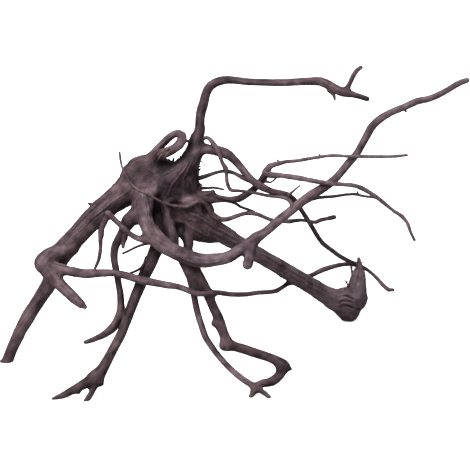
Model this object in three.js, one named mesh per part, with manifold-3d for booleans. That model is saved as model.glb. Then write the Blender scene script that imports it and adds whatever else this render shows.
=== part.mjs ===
// Spiderwood root: a washed, dried root with a gnarled crown, a thick leaning trunk, one great bowed limb,
// a heavy limb that ends in a burl, and long thin rootlets. It grew as one piece, so it is one solid.
// Millimetres, +Z up. The origin is on the floor under the middle of the bounding box.
import * as THREE from "three";
import { mergeVertices } from "three/addons/utils/BufferGeometryUtils.js";
import Module from "manifold-3d";

// Every route is a list of hand-chosen rows [across, down, back, radius] on a sight plane that faces a
// viewer who looks down at the root. Across and down run over that plane and back runs away from the viewer.
const SIGHT_TILT = THREE.MathUtils.degToRad(22);
const FLOOR_LINE = 401;
const MIDDLE_ACROSS = 234.73;
const MIDDLE_DEPTH = 123.49;

// Crown: thick strands that flow from one limb into the next, with knobs behind them.
const SHOULDER_FLOW = [
  [121, 193, 33, 10], [130, 183.5, 33, 12], [139.8, 172.8, 33, 16], [151, 170.8, 33, 16.4],
  [162, 177, 35, 18], [172, 186, 40, 18],
];
const BUTTRESS_FLOW = [
  [198.5, 146, 25, 5.6], [194.5, 155, 24, 7], [187.5, 163.5, 23, 8.2], [179, 170, 23, 9.6],
  [171, 178, 25, 11.6], [165, 188, 28, 13.2], [162, 199, 32, 12],
];
const RIGHT_FLOW = [
  [195.5, 150, 28, 6.2], [190.5, 161, 31, 9.4], [186.5, 174, 34, 12.8], [185, 188, 35, 14.6],
  [187, 200, 36, 14.6], [195, 211, 38, 12.6], [205, 221, 41, 10.8],
];
const FACE_FLOW = [
  [158, 174, 34, 16.6], [164, 186, 33, 17.4], [169, 199, 33, 15], [175, 211, 32, 11.5], [181, 222, 28, 9],
  [186, 232, 22, 6],
];
const GREAT_FLOW = [
  [139, 177, 30, 12], [143.4, 188, 26, 11.4], [142.8, 198, 20, 10.6], [141.8, 206, 14, 10],
];
const LEG_FLOW = [[160, 190, 44, 12], [157.5, 204, 42, 10], [157, 217, 36, 9], [160, 228, 28, 8.6]];
const BACK_FLOW = [
  [150, 178, 44, 14], [162, 182, 52, 16], [176, 188, 54, 15.6], [190, 198, 50, 13.4],
  [203, 212, 46, 11.5],
];
const CROWN_KNOBS = [
  [156, 176, 58, 8.6], [176, 178, 66, 8], [186, 196, 58, 7.6], [168, 202, 62, 7.4], [203, 206, 40, 7],
];

// Trunk, with the elbow, the thumb and the long limb that trails from it.
const TRUNK = [
  [138, 182, 34, 15], [128, 191.4, 33, 14], [117.6, 198.4, 33, 12], [107, 206.6, 35, 11.9],
  [95.5, 216.6, 38, 11.4], [79, 234, 44, 10.2], [63, 252, 50, 10], [56, 267, 57, 9.4], [49, 284, 64, 7.9],
  [39, 300, 72, 7.2], [28, 317, 80, 6.9], [18.6, 334.5, 88, 6.2], [7.6, 359, 97, 5.7],
  [3.4, 368, 100.5, 5.6],
];
const ELBOW = [[70, 246.2, 50, 9.4], [58, 253.2, 46, 8.8], [49.4, 257.6, 42, 9.3], [44.6, 263.8, 39, 9.2]];
const THUMB = [
  [45, 263, 40, 9], [49.6, 273, 36, 8.2], [57, 281, 34, 6.8], [64.6, 288, 30, 6.1], [75, 298.4, 25, 5.4],
  [80.5, 303.2, 22, 4.6], [85.4, 306.8, 20, 2.4],
];
const TRAILING_LIMB = [
  [50, 266, 38, 7], [60, 269.5, 36, 5.5], [71, 271.3, 33, 5.2], [84, 273.5, 28, 4.9], [102, 273, 20, 3.9],
  [115, 273, 13, 3.5], [126, 275.5, 9, 3.8], [140, 279.5, 5, 4.1], [155, 282.5, 3, 4], [165, 284.5, 2, 3.6],
  [178, 286.5, 1, 3.1], [187, 289.5, 0, 3.1], [195, 293, 0, 3], [205, 293.8, 5, 2.8], [218, 292.8, 16, 2.9],
  [230, 294.2, 32, 2.6], [245, 294.4, 56, 2.5], [258, 292.8, 80, 2.4], [270, 292, 103, 2.4],
  [276.5, 290.8, 114, 2.4], [283, 287, 126, 2.3], [290, 282.7, 138, 2.4], [300, 279, 151, 2.5],
  [312.5, 275.5, 166, 2.6], [320, 271.5, 175, 2.7], [328, 268.5, 183, 2.8], [340, 265.3, 196, 2.4],
  [349, 264.3, 205, 2.2], [357, 264.5, 209, 2.1],
];

// Limbs on top of the crown.
const SMALL_LOOP = [
  [148, 162, 26, 5.4], [156.4, 151, 24, 4.2], [163.6, 143.6, 23, 4.1], [169.8, 137.6, 21, 4],
  [175.6, 134, 18, 3.8], [180.4, 134.4, 15, 4.4], [182.6, 138.4, 12, 5.2], [180.6, 143.4, 11, 5],
  [176, 147.8, 11, 4.8], [169.4, 151.6, 13, 5], [162.4, 154.4, 15, 5.4], [156, 160, 19, 5],
];
const TALL_LIMB = [
  [189, 166, 28, 8.6], [193.6, 149.6, 26, 7.2], [196, 140.4, 24, 7.4], [199.6, 131, 22, 5.6],
  [200, 121, 21, 4.8], [201.2, 112, 20, 4.9], [203.8, 103, 18, 4.8], [206, 94, 17, 4.7],
  [210.5, 86.5, 15, 4.6], [218, 82, 13, 4.5], [226, 80.4, 11, 4.2], [235, 80.7, 9, 3.9], [245, 82, 7, 3.6],
  [262, 83, 3, 3.7], [282, 83.2, -2, 3.8], [300, 82.3, -6, 3.8], [312, 81.9, -9, 4.1],
  [320.6, 82.2, -11, 4.5], [328.6, 86, -12, 4.9], [336, 90, -13, 4.7], [344, 93.3, -14, 4.4],
  [351, 94.6, -15, 3.5], [359, 97, -17, 2.8], [366.5, 99.5, -18, 2.6],
];
const TALL_TWIG = [
  [345, 92, -14, 3.1], [349.5, 84, -15, 2.5], [352.5, 77, -16, 2.5], [356, 71.5, -17, 2.4],
  [360.3, 68.3, -18, 2.2],
];
const TALL_SPUR = [[330, 90, -12, 3], [333.5, 96, -11, 1.5], [334.6, 100.5, -10, 0.7]];

// Great bowed limb, with the blunt knob that hangs from it.
const GREAT_LIMB = [
  [156, 182, 26, 11], [148, 198, 14, 9.8], [144.6, 212, 7, 9.4], [147.6, 223, 2, 8.7],
  [153, 233.6, -1, 8.8], [162.5, 244, -3, 8], [172.5, 250, -4, 7.8], [184, 255.5, -4, 7.8],
  [196, 259.8, -4, 7.6], [205, 260.8, -4, 7.1], [214, 259.9, -3, 6.4], [223, 258.8, -2, 6.3],
  [232, 255.4, 0, 6.2], [240.5, 249.7, 2, 6], [249, 243, 4, 5.6], [258, 237, 6, 4.9], [266, 231.6, 7, 4.3],
  [273.6, 225, 8, 4.5], [281.2, 218.4, 9, 4.6], [289, 212.2, 9, 4.6], [297, 205.6, 9, 4.7],
  [304.5, 200, 9, 4.7], [312, 194.6, 9, 4.8], [320, 189.9, 8, 4.7], [327.4, 185.2, 8, 4.4],
  [334.8, 179.2, 8, 4], [341.4, 171.8, 8, 3.9], [349.4, 162, 7, 4], [356.6, 153.8, 6, 3.7],
  [361.8, 144.4, 5, 3.8], [366.8, 135.4, 4, 4], [370.8, 128, 3, 4], [376, 122.3, 2, 4.1],
  [385, 116, 1, 3.8], [395, 111, 0, 3.6], [404, 107.6, -2, 3.5], [410.5, 104.4, -3, 3.8],
  [418, 101.3, -4, 3.6], [426, 100, -5, 3.3], [434.5, 97, -6, 3.2], [443.5, 92.4, -8, 3.2],
  [452.4, 87.2, -10, 3.1], [460, 83, -11, 3], [466, 81, -12, 2.8],
];
const GREAT_KNOB = [[256, 238, 5, 4.6], [252.5, 246, 3, 4.4], [250.2, 253, 0, 5.2], [247.4, 264, -3, 5.4]];
const GREAT_SPUR = [[403, 108, -2, 2.4], [405.4, 111.8, -2, 0.9]];

// Heavy limb that runs back to the burl on the floor, with the torn horn that stands on it.
const HEAVY_LIMB = [
  [190, 208, 28, 13], [202, 220, 34, 12], [214, 229.5, 43, 10], [227, 237, 55, 8.5], [240, 244.5, 69, 7.9],
  [252, 251, 83, 7.7], [264, 258, 97, 7.7], [276.4, 265.1, 111, 7.9], [288.5, 272.6, 125, 8.1],
  [300.6, 279.7, 139, 8.2], [312.7, 286.9, 152, 8.3], [325, 294.6, 166, 8.8], [337, 300.8, 180, 11.2],
  [345, 305, 189, 11],
];
const BURL_LUMPS = [
  [349.2, 310, 195.5, 12.2], [356, 298.6, 197, 12.4], [343.4, 300.4, 191, 12.6],
];
const HORN = [
  [356.6, 294, 198, 10.8], [358.2, 284, 198, 9.2], [358.9, 277, 197.4, 7.8], [359.6, 272.4, 196.6, 5.8],
  [360.6, 268.4, 195.6, 4], [359.8, 263.6, 194, 2.6], [359.4, 260, 193, 1.9], [359.5, 258.6, 192.4, 1.5],
];

// Bowed limb that drops behind the great limb and meets the trailing limb behind the horn.
const BOWED_LIMB = [
  [190, 158, 30, 6.5], [202, 149.6, 26, 5.3], [212, 150.1, 23, 5.1], [222, 152.2, 20, 5.3],
  [229, 155.4, 18, 4.9], [234.2, 160, 16, 4.2], [240, 166.4, 14, 3.8], [246, 173.8, 12, 3.7],
  [252.4, 180.6, 10, 3.8], [259, 185.2, 9, 4], [265.6, 188.9, 9, 3.8], [272.4, 191.6, 10, 3.1],
  [280, 193.2, 12, 3.2], [287, 195.2, 15, 3.2], [293, 199, 21, 2.9], [298, 205, 31, 2.6],
  [302.4, 212, 43, 2.4], [308.4, 221, 60, 2.5], [313.6, 229.6, 78, 2.4], [318.4, 237.4, 96, 2.4],
  [323.4, 243.6, 114, 2.4], [331, 249.6, 135, 2.3], [340.8, 256.6, 160, 2.3], [349, 261, 184, 2.3],
  [356, 264.2, 206, 2.2], [366, 268.8, 208, 2], [373.3, 274.2, 205, 2], [379.3, 280.3, 201, 2.2],
  [385.4, 286.9, 197, 2.3], [389.8, 290.2, 195, 2.3], [394, 290.2, 193, 1.8],
];
const BOWED_FORK = [
  [298, 206, 32, 2.5], [303.6, 203.4, 31, 2.2], [311.8, 199.3, 29, 1.9], [321, 197.4, 26, 1.8],
  [333.8, 196.5, 22, 1.7], [346.5, 194.6, 19, 1.5], [356, 194.4, 17, 1.6], [363.1, 196.4, 16, 1.4],
  [372, 197.2, 16, 1.4], [377.4, 198.6, 16, 1.4],
];
const BOWED_TWIG = [[288, 195.8, 14, 1.6], [293.4, 191, 12, 0.9], [299.6, 185.9, 9, 0.7]];

// Crossing limb that rises behind the bowed limb and forks into two long rootlets.
const CROSSING_LIMB = [
  [198, 196, 34, 5], [208, 195.6, 31, 4], [216, 196.6, 28, 2.5], [224, 198, 26, 2],
  [229.5, 198.7, 25.6, 2.2], [234.4, 199.1, 25, 2.9], [239, 198.8, 24, 3.6], [243.6, 196.3, 23.4, 3.6],
  [248.6, 193.2, 22.6, 3.5], [254.6, 188.6, 21.6, 3.6], [259, 184, 20.8, 3.7], [262.2, 180, 20, 3.8],
  [265.4, 174.6, 19, 4], [268, 169.6, 18, 3.1],
];
const UPPER_ROOTLET = [
  [266.4, 171.6, 19, 3.2], [269.4, 167, 17, 2.7], [273.6, 165, 15, 2.2], [279, 163.6, 13, 2],
  [286, 162, 10, 1.7], [296.5, 161, 7, 1.5], [308, 159.1, 4, 1.5], [319.5, 157.2, 2, 1.5],
  [329.4, 156, 0.5, 1.4], [336, 155.8, 0, 1.5], [346.5, 156.5, -0.5, 1.4], [359.3, 156.7, -0.5, 1.4],
  [375.9, 156.9, 0, 1.3], [392.4, 156.7, 1, 1.3], [406.2, 155.4, 3, 1.2],
];
const LOWER_ROOTLET = [
  [266, 173.4, 19, 3.4], [271, 175.2, 17, 2.8], [277, 175.4, 15.4, 2.6], [282, 175.8, 13.6, 2.3],
  [289, 176.8, 11, 2.3], [300.4, 178.6, 7, 2.4], [308, 180.1, 4, 2.3], [318, 182, 1.5, 2.2],
  [327.4, 183.3, 0.5, 1.9], [341.4, 184.5, 2, 1.9], [352.9, 185.6, 5, 2], [359.6, 187.6, 8, 2.1],
  [367, 191.4, 12, 1.9], [376, 197.1, 15, 1.8], [384.8, 204.1, 19, 1.6], [393.7, 211.2, 23, 1.5],
  [401.4, 216.3, 26, 1.7], [407.1, 223.3, 28, 1.5], [410.3, 232.2, 30, 1.3], [414.1, 239.9, 31, 1.1],
];
const ROOTLET_SPURS = [
  [[278.2, 164, 13, 1.4], [277.8, 160.4, 13, 0.7]],
  [[319.8, 157.2, 2, 1.2], [319.4, 154.8, 2, 0.6]],
  [[357.6, 194.4, 17, 1.2], [357, 191.8, 17, 0.6]],
];
const HOOKED_TWIG = [
  [263.4, 181, 20, 2.4], [266.6, 181.6, 18.6, 1.2], [269.8, 182.6, 17, 0.8], [272.6, 181.4, 16, 0.75],
  [276.6, 177.6, 15, 0.75],
];
const LACE_TWIG = [
  [200, 140.6, 24, 2.8], [204.6, 138.4, 20, 1.4], [208, 138.1, 18, 1.6], [212.4, 142.5, 15, 1.9],
  [216.6, 148.4, 13, 2.1], [219.8, 155.5, 11, 1.8], [222.3, 162.7, 10, 1.6], [225.8, 169.2, 9, 2.1],
  [226.6, 176, 9, 1.55], [227.2, 182.6, 9, 1.6], [229.6, 188.6, 9, 1.5], [232.4, 190.7, 9, 1.4],
  [237, 190.8, 10, 1.3], [243, 191.4, 12, 1.25], [250.4, 192.6, 14, 1.2], [257.4, 193.6, 13, 1.3],
  [266, 195.5, 12, 1.4], [274, 196.5, 11, 1.4], [281.2, 197.3, 10, 1.5], [286.6, 198.9, 9, 1.6],
  [290.2, 202, 7, 1.7], [291.5, 206, 6, 1.7], [291, 211, 7, 1.7],
];
const SIDE_ROOTLET = [
  [196, 178.8, 34, 2.6], [202, 177.5, 30, 1.85], [209.6, 175, 27, 1.7], [216, 172.8, 24, 1.55],
  [222.9, 171.4, 21, 1.5], [228.9, 171.8, 19, 1.7], [233.8, 173.2, 17.6, 1.7], [238.6, 175.6, 16, 1.8],
  [243.5, 178.5, 14, 1.9], [248, 180.8, 12, 1.7], [251, 181.6, 11, 1.7],
];
const SHORT_STICK = [
  [198, 188.6, 34, 3.4], [202.4, 188.2, 33.4, 1.6], [207.5, 188.2, 33, 1.2], [213.2, 187.8, 32, 1.1],
  [218, 188.4, 31, 1.05], [223.4, 189.6, 30, 0.9],
];

// Low rootlets that leave the ridge on the right of the crown.
const RIDGE = [
  [180, 207, 18, 2.6], [187, 205.8, 17, 2.8], [193, 202.8, 17, 3], [199.6, 202, 19, 3.1],
  [205, 204.4, 23, 3.1], [209, 210.4, 26, 3.2], [212.4, 216.6, 30, 3.2], [218, 219.2, 33, 2.4],
];
const STRAND = [
  [197, 205, 24, 3], [201.5, 209.5, 27, 3.2], [206, 216.5, 31, 3.4], [212.5, 223, 37, 3.6],
  [221, 228.4, 46, 3.6], [231, 234.4, 57, 3.4],
];
const LOW_ROOTLET = [
  [211, 215, 28, 3.4], [219.6, 219, 33, 2.4], [226.1, 219.4, 35, 2.2], [232.2, 217.7, 37, 2],
  [239.1, 215.2, 38, 1.8], [245.3, 213.5, 38, 1.8], [252.1, 213.3, 37, 1.95], [258.3, 214.7, 35, 1.8],
  [263.6, 216.9, 33, 1.65], [269, 219.2, 31, 1.6], [276, 221, 30, 1.7], [283.5, 221.2, 30, 1.8],
  [289, 221.5, 32, 1.9], [295, 220.7, 36, 1.7], [302, 220.2, 40, 1.5], [310.3, 221.6, 44, 1.5],
  [315.7, 222.2, 47, 1.7], [321, 219.9, 49, 1.7], [327.1, 218.7, 51, 1.6], [334.2, 217.1, 54, 1.9],
];
const LINKING_ROOTLET = [
  [204, 198.6, 30, 5.4], [211.4, 199.8, 29, 3.8], [217, 200.6, 29, 2.2], [222, 200.6, 29.4, 1.8],
  [227, 201, 30, 1.5], [231.6, 202.1, 31, 1.35], [236.2, 203.9, 34, 1.25], [239.8, 206.4, 35.6, 1.3],
  [243.8, 208.1, 36.4, 1.25], [248, 209.6, 37, 1.2], [254, 212.4, 37, 1.4],
];
const CROWN_STUB = [[203, 198, 30, 6], [209.6, 194.8, 28, 4], [212.6, 192.2, 27, 2.5]];

// Rootlets and legs under the left side of the crown.
const VEIL_TWIG = [
  [119.9, 152.9, 20, 0.9], [120.8, 160, 20, 1.1], [122.6, 168, 20.4, 1.3], [127.4, 177.4, 20.4, 1.3],
  [132, 184.6, 18.4, 1.3], [138, 189.6, 14.8, 1.3], [147, 193.8, 4.4, 1.3], [156, 199, 7.4, 1.3],
  [168, 204.6, 15, 1.4], [177, 206.2, 17.6, 1.5], [187, 206, 16, 1.6],
];
const LEFT_STUB = [
  [108.6, 213.6, 4, 3.2], [113.4, 218.2, 4, 2.9], [120, 224.2, 3, 3], [126, 230, 2, 3], [132, 235, 1, 3],
  [139.6, 238.6, 0, 3.4], [148, 240, -1, 4.4],
];
const LEFT_BUMP = [[146, 208, 10, 9], [138, 214.8, 10, 9], [131.6, 219.4, 12, 7], [126.6, 225.6, 15, 5.6]];
const LEFT_LEG = [
  [129, 220, 13, 6], [124, 230.4, 18, 5], [119.2, 239, 21, 4.4], [115.4, 246.6, 24, 4],
  [114.2, 255, 26.6, 3.8], [114.9, 263, 28, 3.6], [116.8, 272, 29, 3.6], [118.6, 282, 30, 3.6],
  [120.4, 292, 30, 3.6], [121.2, 302, 29, 3.8], [121.2, 311.6, 28, 4.5], [118.6, 320, 28, 4.9],
  [113, 327.6, 30, 4.5], [105.2, 333.8, 34, 3.6], [97, 337.9, 40, 3], [90, 340.8, 46, 2.5],
  [85.4, 342.2, 50, 2],
];
const LEFT_LEG_SPUR = [
  [125.6, 231, 17, 3.4], [125, 238, 16.4, 2.5], [123.6, 243, 16, 1.9], [123.4, 247, 15, 1.5],
];
const FORKED_LEG = [
  [164, 232, 22, 8], [157.4, 247, 20, 7], [152, 260, 20, 6.6], [147.4, 269.2, 21, 6.3],
  [143.4, 278, 22, 6], [139.8, 287, 22, 5.8], [136, 296, 22, 5.6], [132.2, 305, 21, 5.4],
  [129.4, 313, 20, 5.1], [126.2, 322, 18, 4.9], [122.2, 332, 16, 4.9], [117.2, 342, 14, 4.9],
  [111.8, 352.2, 11, 4.9], [106.4, 362.4, 9, 5.2], [101.6, 370.4, 8, 6], [96, 377.4, 7, 6.8],
];
const LONG_PRONG = [
  [97, 376.6, 7, 6.6], [87, 382.6, 7, 5.2], [77.6, 387.4, 7, 4.4], [69.4, 391.8, 7, 3.9],
  [61.4, 395.6, 5.6, 3], [53, 398.3, 4, 1.3],
];
const SHORT_PRONG = [
  [95, 382, 7, 5.2], [93.4, 388.6, 5.5, 3.3], [90.6, 394.2, 4, 2.9], [86.6, 400.4, 2.2, 2.7],
];
const FOOT_KNOBS = [[101.4, 383, 8, 2.6], [79, 391.4, 8, 2]];
const HANGING_TWIG = [
  [108, 212, 30, 4.4], [104.8, 221.6, 28.6, 3], [101.6, 229.6, 27, 2.6], [101.4, 235, 26, 2.6],
  [100.8, 239.6, 25.4, 1.9], [100.9, 247, 25, 1.7], [100.1, 254, 25.4, 1.6], [98.9, 260, 26, 1.5],
  [97, 264.6, 27, 1.5], [95.2, 268.4, 28, 1.2],
];
const SHORT_TWIGS = [
  [
    [154, 242, 0, 1.8], [143.2, 244.7, 1, 1.1], [136, 247.3, 2, 1.05], [128.4, 251.1, 1.4, 1.05],
    [123.6, 253.3, 0.6, 1],
  ],
  [
    [147.6, 258, 18, 2.2], [143.9, 264.6, 15, 1.3], [140.6, 268.3, 13, 1.1], [136, 271, 12, 1],
    [130.4, 273.2, 11, 0.9],
  ],
];

// The two front legs, which meet in a knotted foot.
const LEG_NECK = [
  [180, 219, 26, 11], [184.4, 230, 22, 8], [187.8, 239, 18, 5.6], [188.4, 243.4, 17, 5.3],
  [187.7, 249.5, 15, 4.7], [190.6, 262, 14, 6.8],
];
const HEM = [
  [168, 203, 26, 8.6], [168.6, 215, 20, 7.6], [170.6, 227, 15, 7.4], [172.2, 237, 9, 7],
  [174, 246, 6, 5.6],
];
const WEB = [[186, 214, 28, 11], [194, 225, 28, 9.6], [201, 233, 34, 8], [210, 237.6, 42, 5]];
const LOBE = [
  [182, 217, 22, 8], [188, 226, 22, 8.6], [196, 232.4, 26, 8.4], [205, 235.4, 36, 6.4], [215, 238, 46, 4],
];
const SLIM_LEG = [
  [184, 258, 10, 6.6], [187.6, 268, 11, 5.6], [190.8, 277.6, 12, 4.7], [192.6, 287, 13, 3.8],
  [194.8, 297, 14, 3.5], [196.4, 306, 15, 3.4], [198.8, 316, 16, 3.3], [202.3, 326.8, 17, 3.4],
  [205.8, 337, 18, 3.3], [210.7, 344.6, 18, 3.2], [216, 352, 18, 3.1], [222.1, 359.4, 17, 3],
  [229, 367, 16, 3], [237.2, 374.5, 15, 3.1], [246, 381, 14, 3.3], [253.8, 386, 13, 3.3],
  [262.2, 391, 11, 2.6], [268.8, 396.3, 8.6, 2.2],
];
const KNOTTED_LEG = [
  [189, 258, 14, 6.4], [194, 268.6, 13, 6.2], [199.6, 278.2, 13, 6], [204.4, 287.4, 14, 5.7],
  [209.6, 298, 14, 5.3], [213.4, 307, 13, 5], [217.6, 316, 12, 5], [220.4, 324.6, 11, 5.4],
  [223.2, 332.6, 10, 5.1], [226, 340, 10, 5.4], [227.4, 344.6, 11, 5.4],
];
const KNOTTED_SHIN = [
  [227, 344, 11, 5.4], [236, 346.6, 13, 4.7], [246, 349.5, 16, 4.8], [257, 353.2, 19, 4.8],
  [267.6, 356.8, 21, 4.5], [276.4, 360.8, 22, 4.9], [282.4, 365.4, 22, 5.4],
];
const KNOTTED_HEEL = [
  [283, 366, 22, 5.4], [280, 374, 21, 4.9], [274.4, 379.8, 20, 5.1], [267.6, 382.4, 18, 4.5],
  [261, 383.4, 16, 4.2], [256.6, 387, 14, 3.7], [253.4, 391.4, 12, 3.2], [251, 395.8, 10.6, 2.5],
];
const HEEL_CORNER = [[282, 366, 22, 5], [287, 367.6, 22, 3.2], [290.4, 368.8, 22, 1.4]];
const LEG_KNOBS = [[214.4, 323, 10, 3.2], [223.6, 345.4, 10, 4]];

// Deep hollows in the crown, beside the web and under the ridge: across, down, back, then half the width,
// height and depth of each.
const HOLLOWS = [[157.5, 213, 10, 5, 18, 15], [184, 214, 14, 12, 7.6, 11]];

// Facets: sides of a section and spacing of its rings, by how thick the limb is.
const STOUT = { sides: 9, spacing: 13, flute: 0.07 };
const MEDIUM = { sides: 7, spacing: 11, flute: 0.06 };
const SLIM = { sides: 6, spacing: 10.5, flute: 0.04 };
const FINE = { sides: 5, spacing: 13, flute: 0 };
const FLUTE_LOBES = 3;
const FLUTE_TWIST = 0.021;
const DOME_ROWS = [[0.55, 0.84], [0.92, 0.42]];
const LUMP_SEGMENTS = 8;
const LUMP_RINGS = 6;
const KNOB_SEGMENTS = 6;
const KNOB_RINGS = 4;
const FLOOR_BLOCK = { side: 900, depth: 60 };

const BARK = new THREE.MeshStandardMaterial({
  name: "root_wood",
  color: 0x4b3c3c,
  roughness: 0.82,
  metalness: 0,
});

const LIMBS = [
  { route: SHOULDER_FLOW, build: STOUT, domeStart: true, domeEnd: true },
  { route: BUTTRESS_FLOW, build: STOUT, domeEnd: true },
  { route: RIGHT_FLOW, build: STOUT, domeEnd: true },
  { route: FACE_FLOW, build: STOUT, domeStart: true },
  { route: GREAT_FLOW, build: STOUT, domeStart: true },
  { route: LEG_FLOW, build: STOUT, domeStart: true },
  { route: BACK_FLOW, build: STOUT, domeStart: true, domeEnd: true },
  { route: TRUNK, build: STOUT },
  { route: ELBOW, build: STOUT, domeEnd: true },
  { route: THUMB, build: MEDIUM, domeStart: true },
  { route: TRAILING_LIMB, build: SLIM },
  { route: SMALL_LOOP, build: SLIM },
  { route: TALL_LIMB, build: MEDIUM },
  { route: TALL_TWIG, build: SLIM },
  { route: TALL_SPUR, build: FINE },
  { route: GREAT_LIMB, build: MEDIUM, domeEnd: true },
  { route: GREAT_KNOB, build: MEDIUM, domeEnd: true },
  { route: GREAT_SPUR, build: FINE },
  { route: HEAVY_LIMB, build: STOUT, domeEnd: true },
  { route: HORN, build: MEDIUM },
  { route: BOWED_LIMB, build: SLIM, domeEnd: true },
  { route: BOWED_FORK, build: SLIM },
  { route: BOWED_TWIG, build: FINE },
  { route: CROSSING_LIMB, build: SLIM, domeEnd: true },
  { route: UPPER_ROOTLET, build: FINE },
  { route: LOWER_ROOTLET, build: FINE },
  ...ROOTLET_SPURS.map((route) => ({ route, build: FINE })),
  { route: HOOKED_TWIG, build: FINE },
  { route: LACE_TWIG, build: FINE },
  { route: SIDE_ROOTLET, build: FINE },
  { route: SHORT_STICK, build: FINE },
  { route: RIDGE, build: SLIM },
  { route: STRAND, build: SLIM },
  { route: LOW_ROOTLET, build: FINE, domeEnd: true },
  { route: LINKING_ROOTLET, build: FINE },
  { route: CROWN_STUB, build: SLIM },
  { route: VEIL_TWIG, build: FINE },
  { route: LEFT_STUB, build: SLIM },
  { route: LEFT_BUMP, build: MEDIUM, domeEnd: true },
  { route: LEFT_LEG, build: SLIM, domeEnd: true },
  { route: LEFT_LEG_SPUR, build: FINE },
  { route: FORKED_LEG, build: MEDIUM, domeEnd: true },
  { route: LONG_PRONG, build: MEDIUM },
  { route: SHORT_PRONG, build: SLIM },
  { route: HANGING_TWIG, build: FINE },
  ...SHORT_TWIGS.map((route) => ({ route, build: FINE })),
  { route: LEG_NECK, build: MEDIUM },
  { route: HEM, build: MEDIUM },
  { route: WEB, build: MEDIUM },
  { route: LOBE, build: MEDIUM, domeStart: true },
  { route: SLIM_LEG, build: SLIM },
  { route: KNOTTED_LEG, build: MEDIUM, domeEnd: true },
  { route: KNOTTED_SHIN, build: MEDIUM, domeStart: true, domeEnd: true },
  { route: KNOTTED_HEEL, build: MEDIUM, domeStart: true },
  { route: HEEL_CORNER, build: SLIM },
];

const wasm = await Module();
wasm.setup();

// Turns a row of the sight plane into a point of the part's own frame.
function place([across, down, back]) {
  const rise = FLOOR_LINE - down;
  return new THREE.Vector3(
    across - MIDDLE_ACROSS,
    rise * Math.sin(SIGHT_TILT) + back * Math.cos(SIGHT_TILT) - MIDDLE_DEPTH,
    rise * Math.cos(SIGHT_TILT) - back * Math.sin(SIGHT_TILT),
  );
}

// Radius at parameter t of the curve through the rows, eased between one row and the next.
function radiusAt(route, t) {
  const step = t * (route.length - 1);
  const row = Math.min(Math.floor(step), route.length - 2);
  const share = THREE.MathUtils.smoothstep(step - row, 0, 1);
  return THREE.MathUtils.lerp(route[row][3], route[row + 1][3], share);
}

// Sections of a limb: evenly spaced along its curve, with two small ones beyond an end that is a dome.
function sectionsOf({ route, build, domeStart, domeEnd }) {
  const curve = new THREE.CatmullRomCurve3(route.map(place), false, "centripetal");
  const steps = Math.max(2, Math.ceil(curve.getLength() / build.spacing));
  const frames = curve.computeFrenetFrames(steps, false);
  const sections = [];
  for (let i = 0; i <= steps; i += 1) {
    const u = i / steps;
    sections.push({
      centre: curve.getPointAt(u),
      side: frames.normals[i],
      up: frames.binormals[i],
      radius: radiusAt(route, curve.getUtoTmapping(u)),
      travel: u * curve.getLength(),
    });
  }
  const dome = (section, tangent) => DOME_ROWS.map(([reach, share]) => ({
    ...section,
    centre: section.centre.clone().addScaledVector(tangent, reach * section.radius),
    radius: share * section.radius,
  }));
  if (domeStart) {
    sections.unshift(...dome(sections[0], frames.tangents[0].clone().negate()).reverse());
  }
  if (domeEnd) {
    sections.push(...dome(sections.at(-1), frames.tangents[steps]));
  }
  return sections;
}

// Bends a plain unit cylinder along a limb: each of its rings becomes one section, with shallow flutes that
// twist. The corners of a section stand out a little, so that its outline keeps the true radius on average.
function limbGeometry(limb) {
  const sections = sectionsOf(limb);
  const rows = sections.length - 1;
  const growth = 1 / Math.cos(Math.PI / (2 * limb.build.sides));
  const geometry = new THREE.CylinderGeometry(1, 1, 1, limb.build.sides, rows);
  const position = geometry.attributes.position;
  const unit = new THREE.Vector3();
  for (let i = 0; i < position.count; i += 1) {
    unit.fromBufferAttribute(position, i);
    const section = sections[Math.round((0.5 - unit.y) * rows)];
    const angle = Math.atan2(unit.z, unit.x);
    const flute = limb.build.flute * Math.cos(FLUTE_LOBES * angle + FLUTE_TWIST * section.travel);
    const reach = section.radius * growth * (1 + flute);
    const point = section.centre.clone();
    point.addScaledVector(section.side, unit.x * reach);
    point.addScaledVector(section.up, unit.z * reach);
    position.setXYZ(i, point.x, point.y, point.z);
  }
  return geometry;
}

function lumpGeometry([across, down, back, radius], segments, rings) {
  const geometry = new THREE.SphereGeometry(radius, segments, rings);
  geometry.rotateX(Math.PI / 2);
  const centre = place([across, down, back]);
  geometry.translate(centre.x, centre.y, centre.z);
  return geometry;
}

// A rounded hollow: a ball stretched along the sight plane and tilted with it.
function hollowGeometry([across, down, back, width, height, depth]) {
  const geometry = new THREE.SphereGeometry(1, LUMP_SEGMENTS, LUMP_RINGS);
  geometry.scale(width, depth, height);
  geometry.rotateX(-SIGHT_TILT);
  const centre = place([across, down, back]);
  geometry.translate(centre.x, centre.y, centre.z);
  return geometry;
}

// Makes a solid of a closed geometry, turned so that its faces point outwards.
function solidOf(geometry) {
  geometry.deleteAttribute("normal");
  geometry.deleteAttribute("uv");
  const merged = mergeVertices(geometry, 1e-4);
  const solid = new wasm.Manifold(new wasm.Mesh({
    numProp: 3,
    vertProperties: Float32Array.from(merged.attributes.position.array),
    triVerts: Uint32Array.from(merged.index.array),
  }));
  return solid;
}

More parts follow.
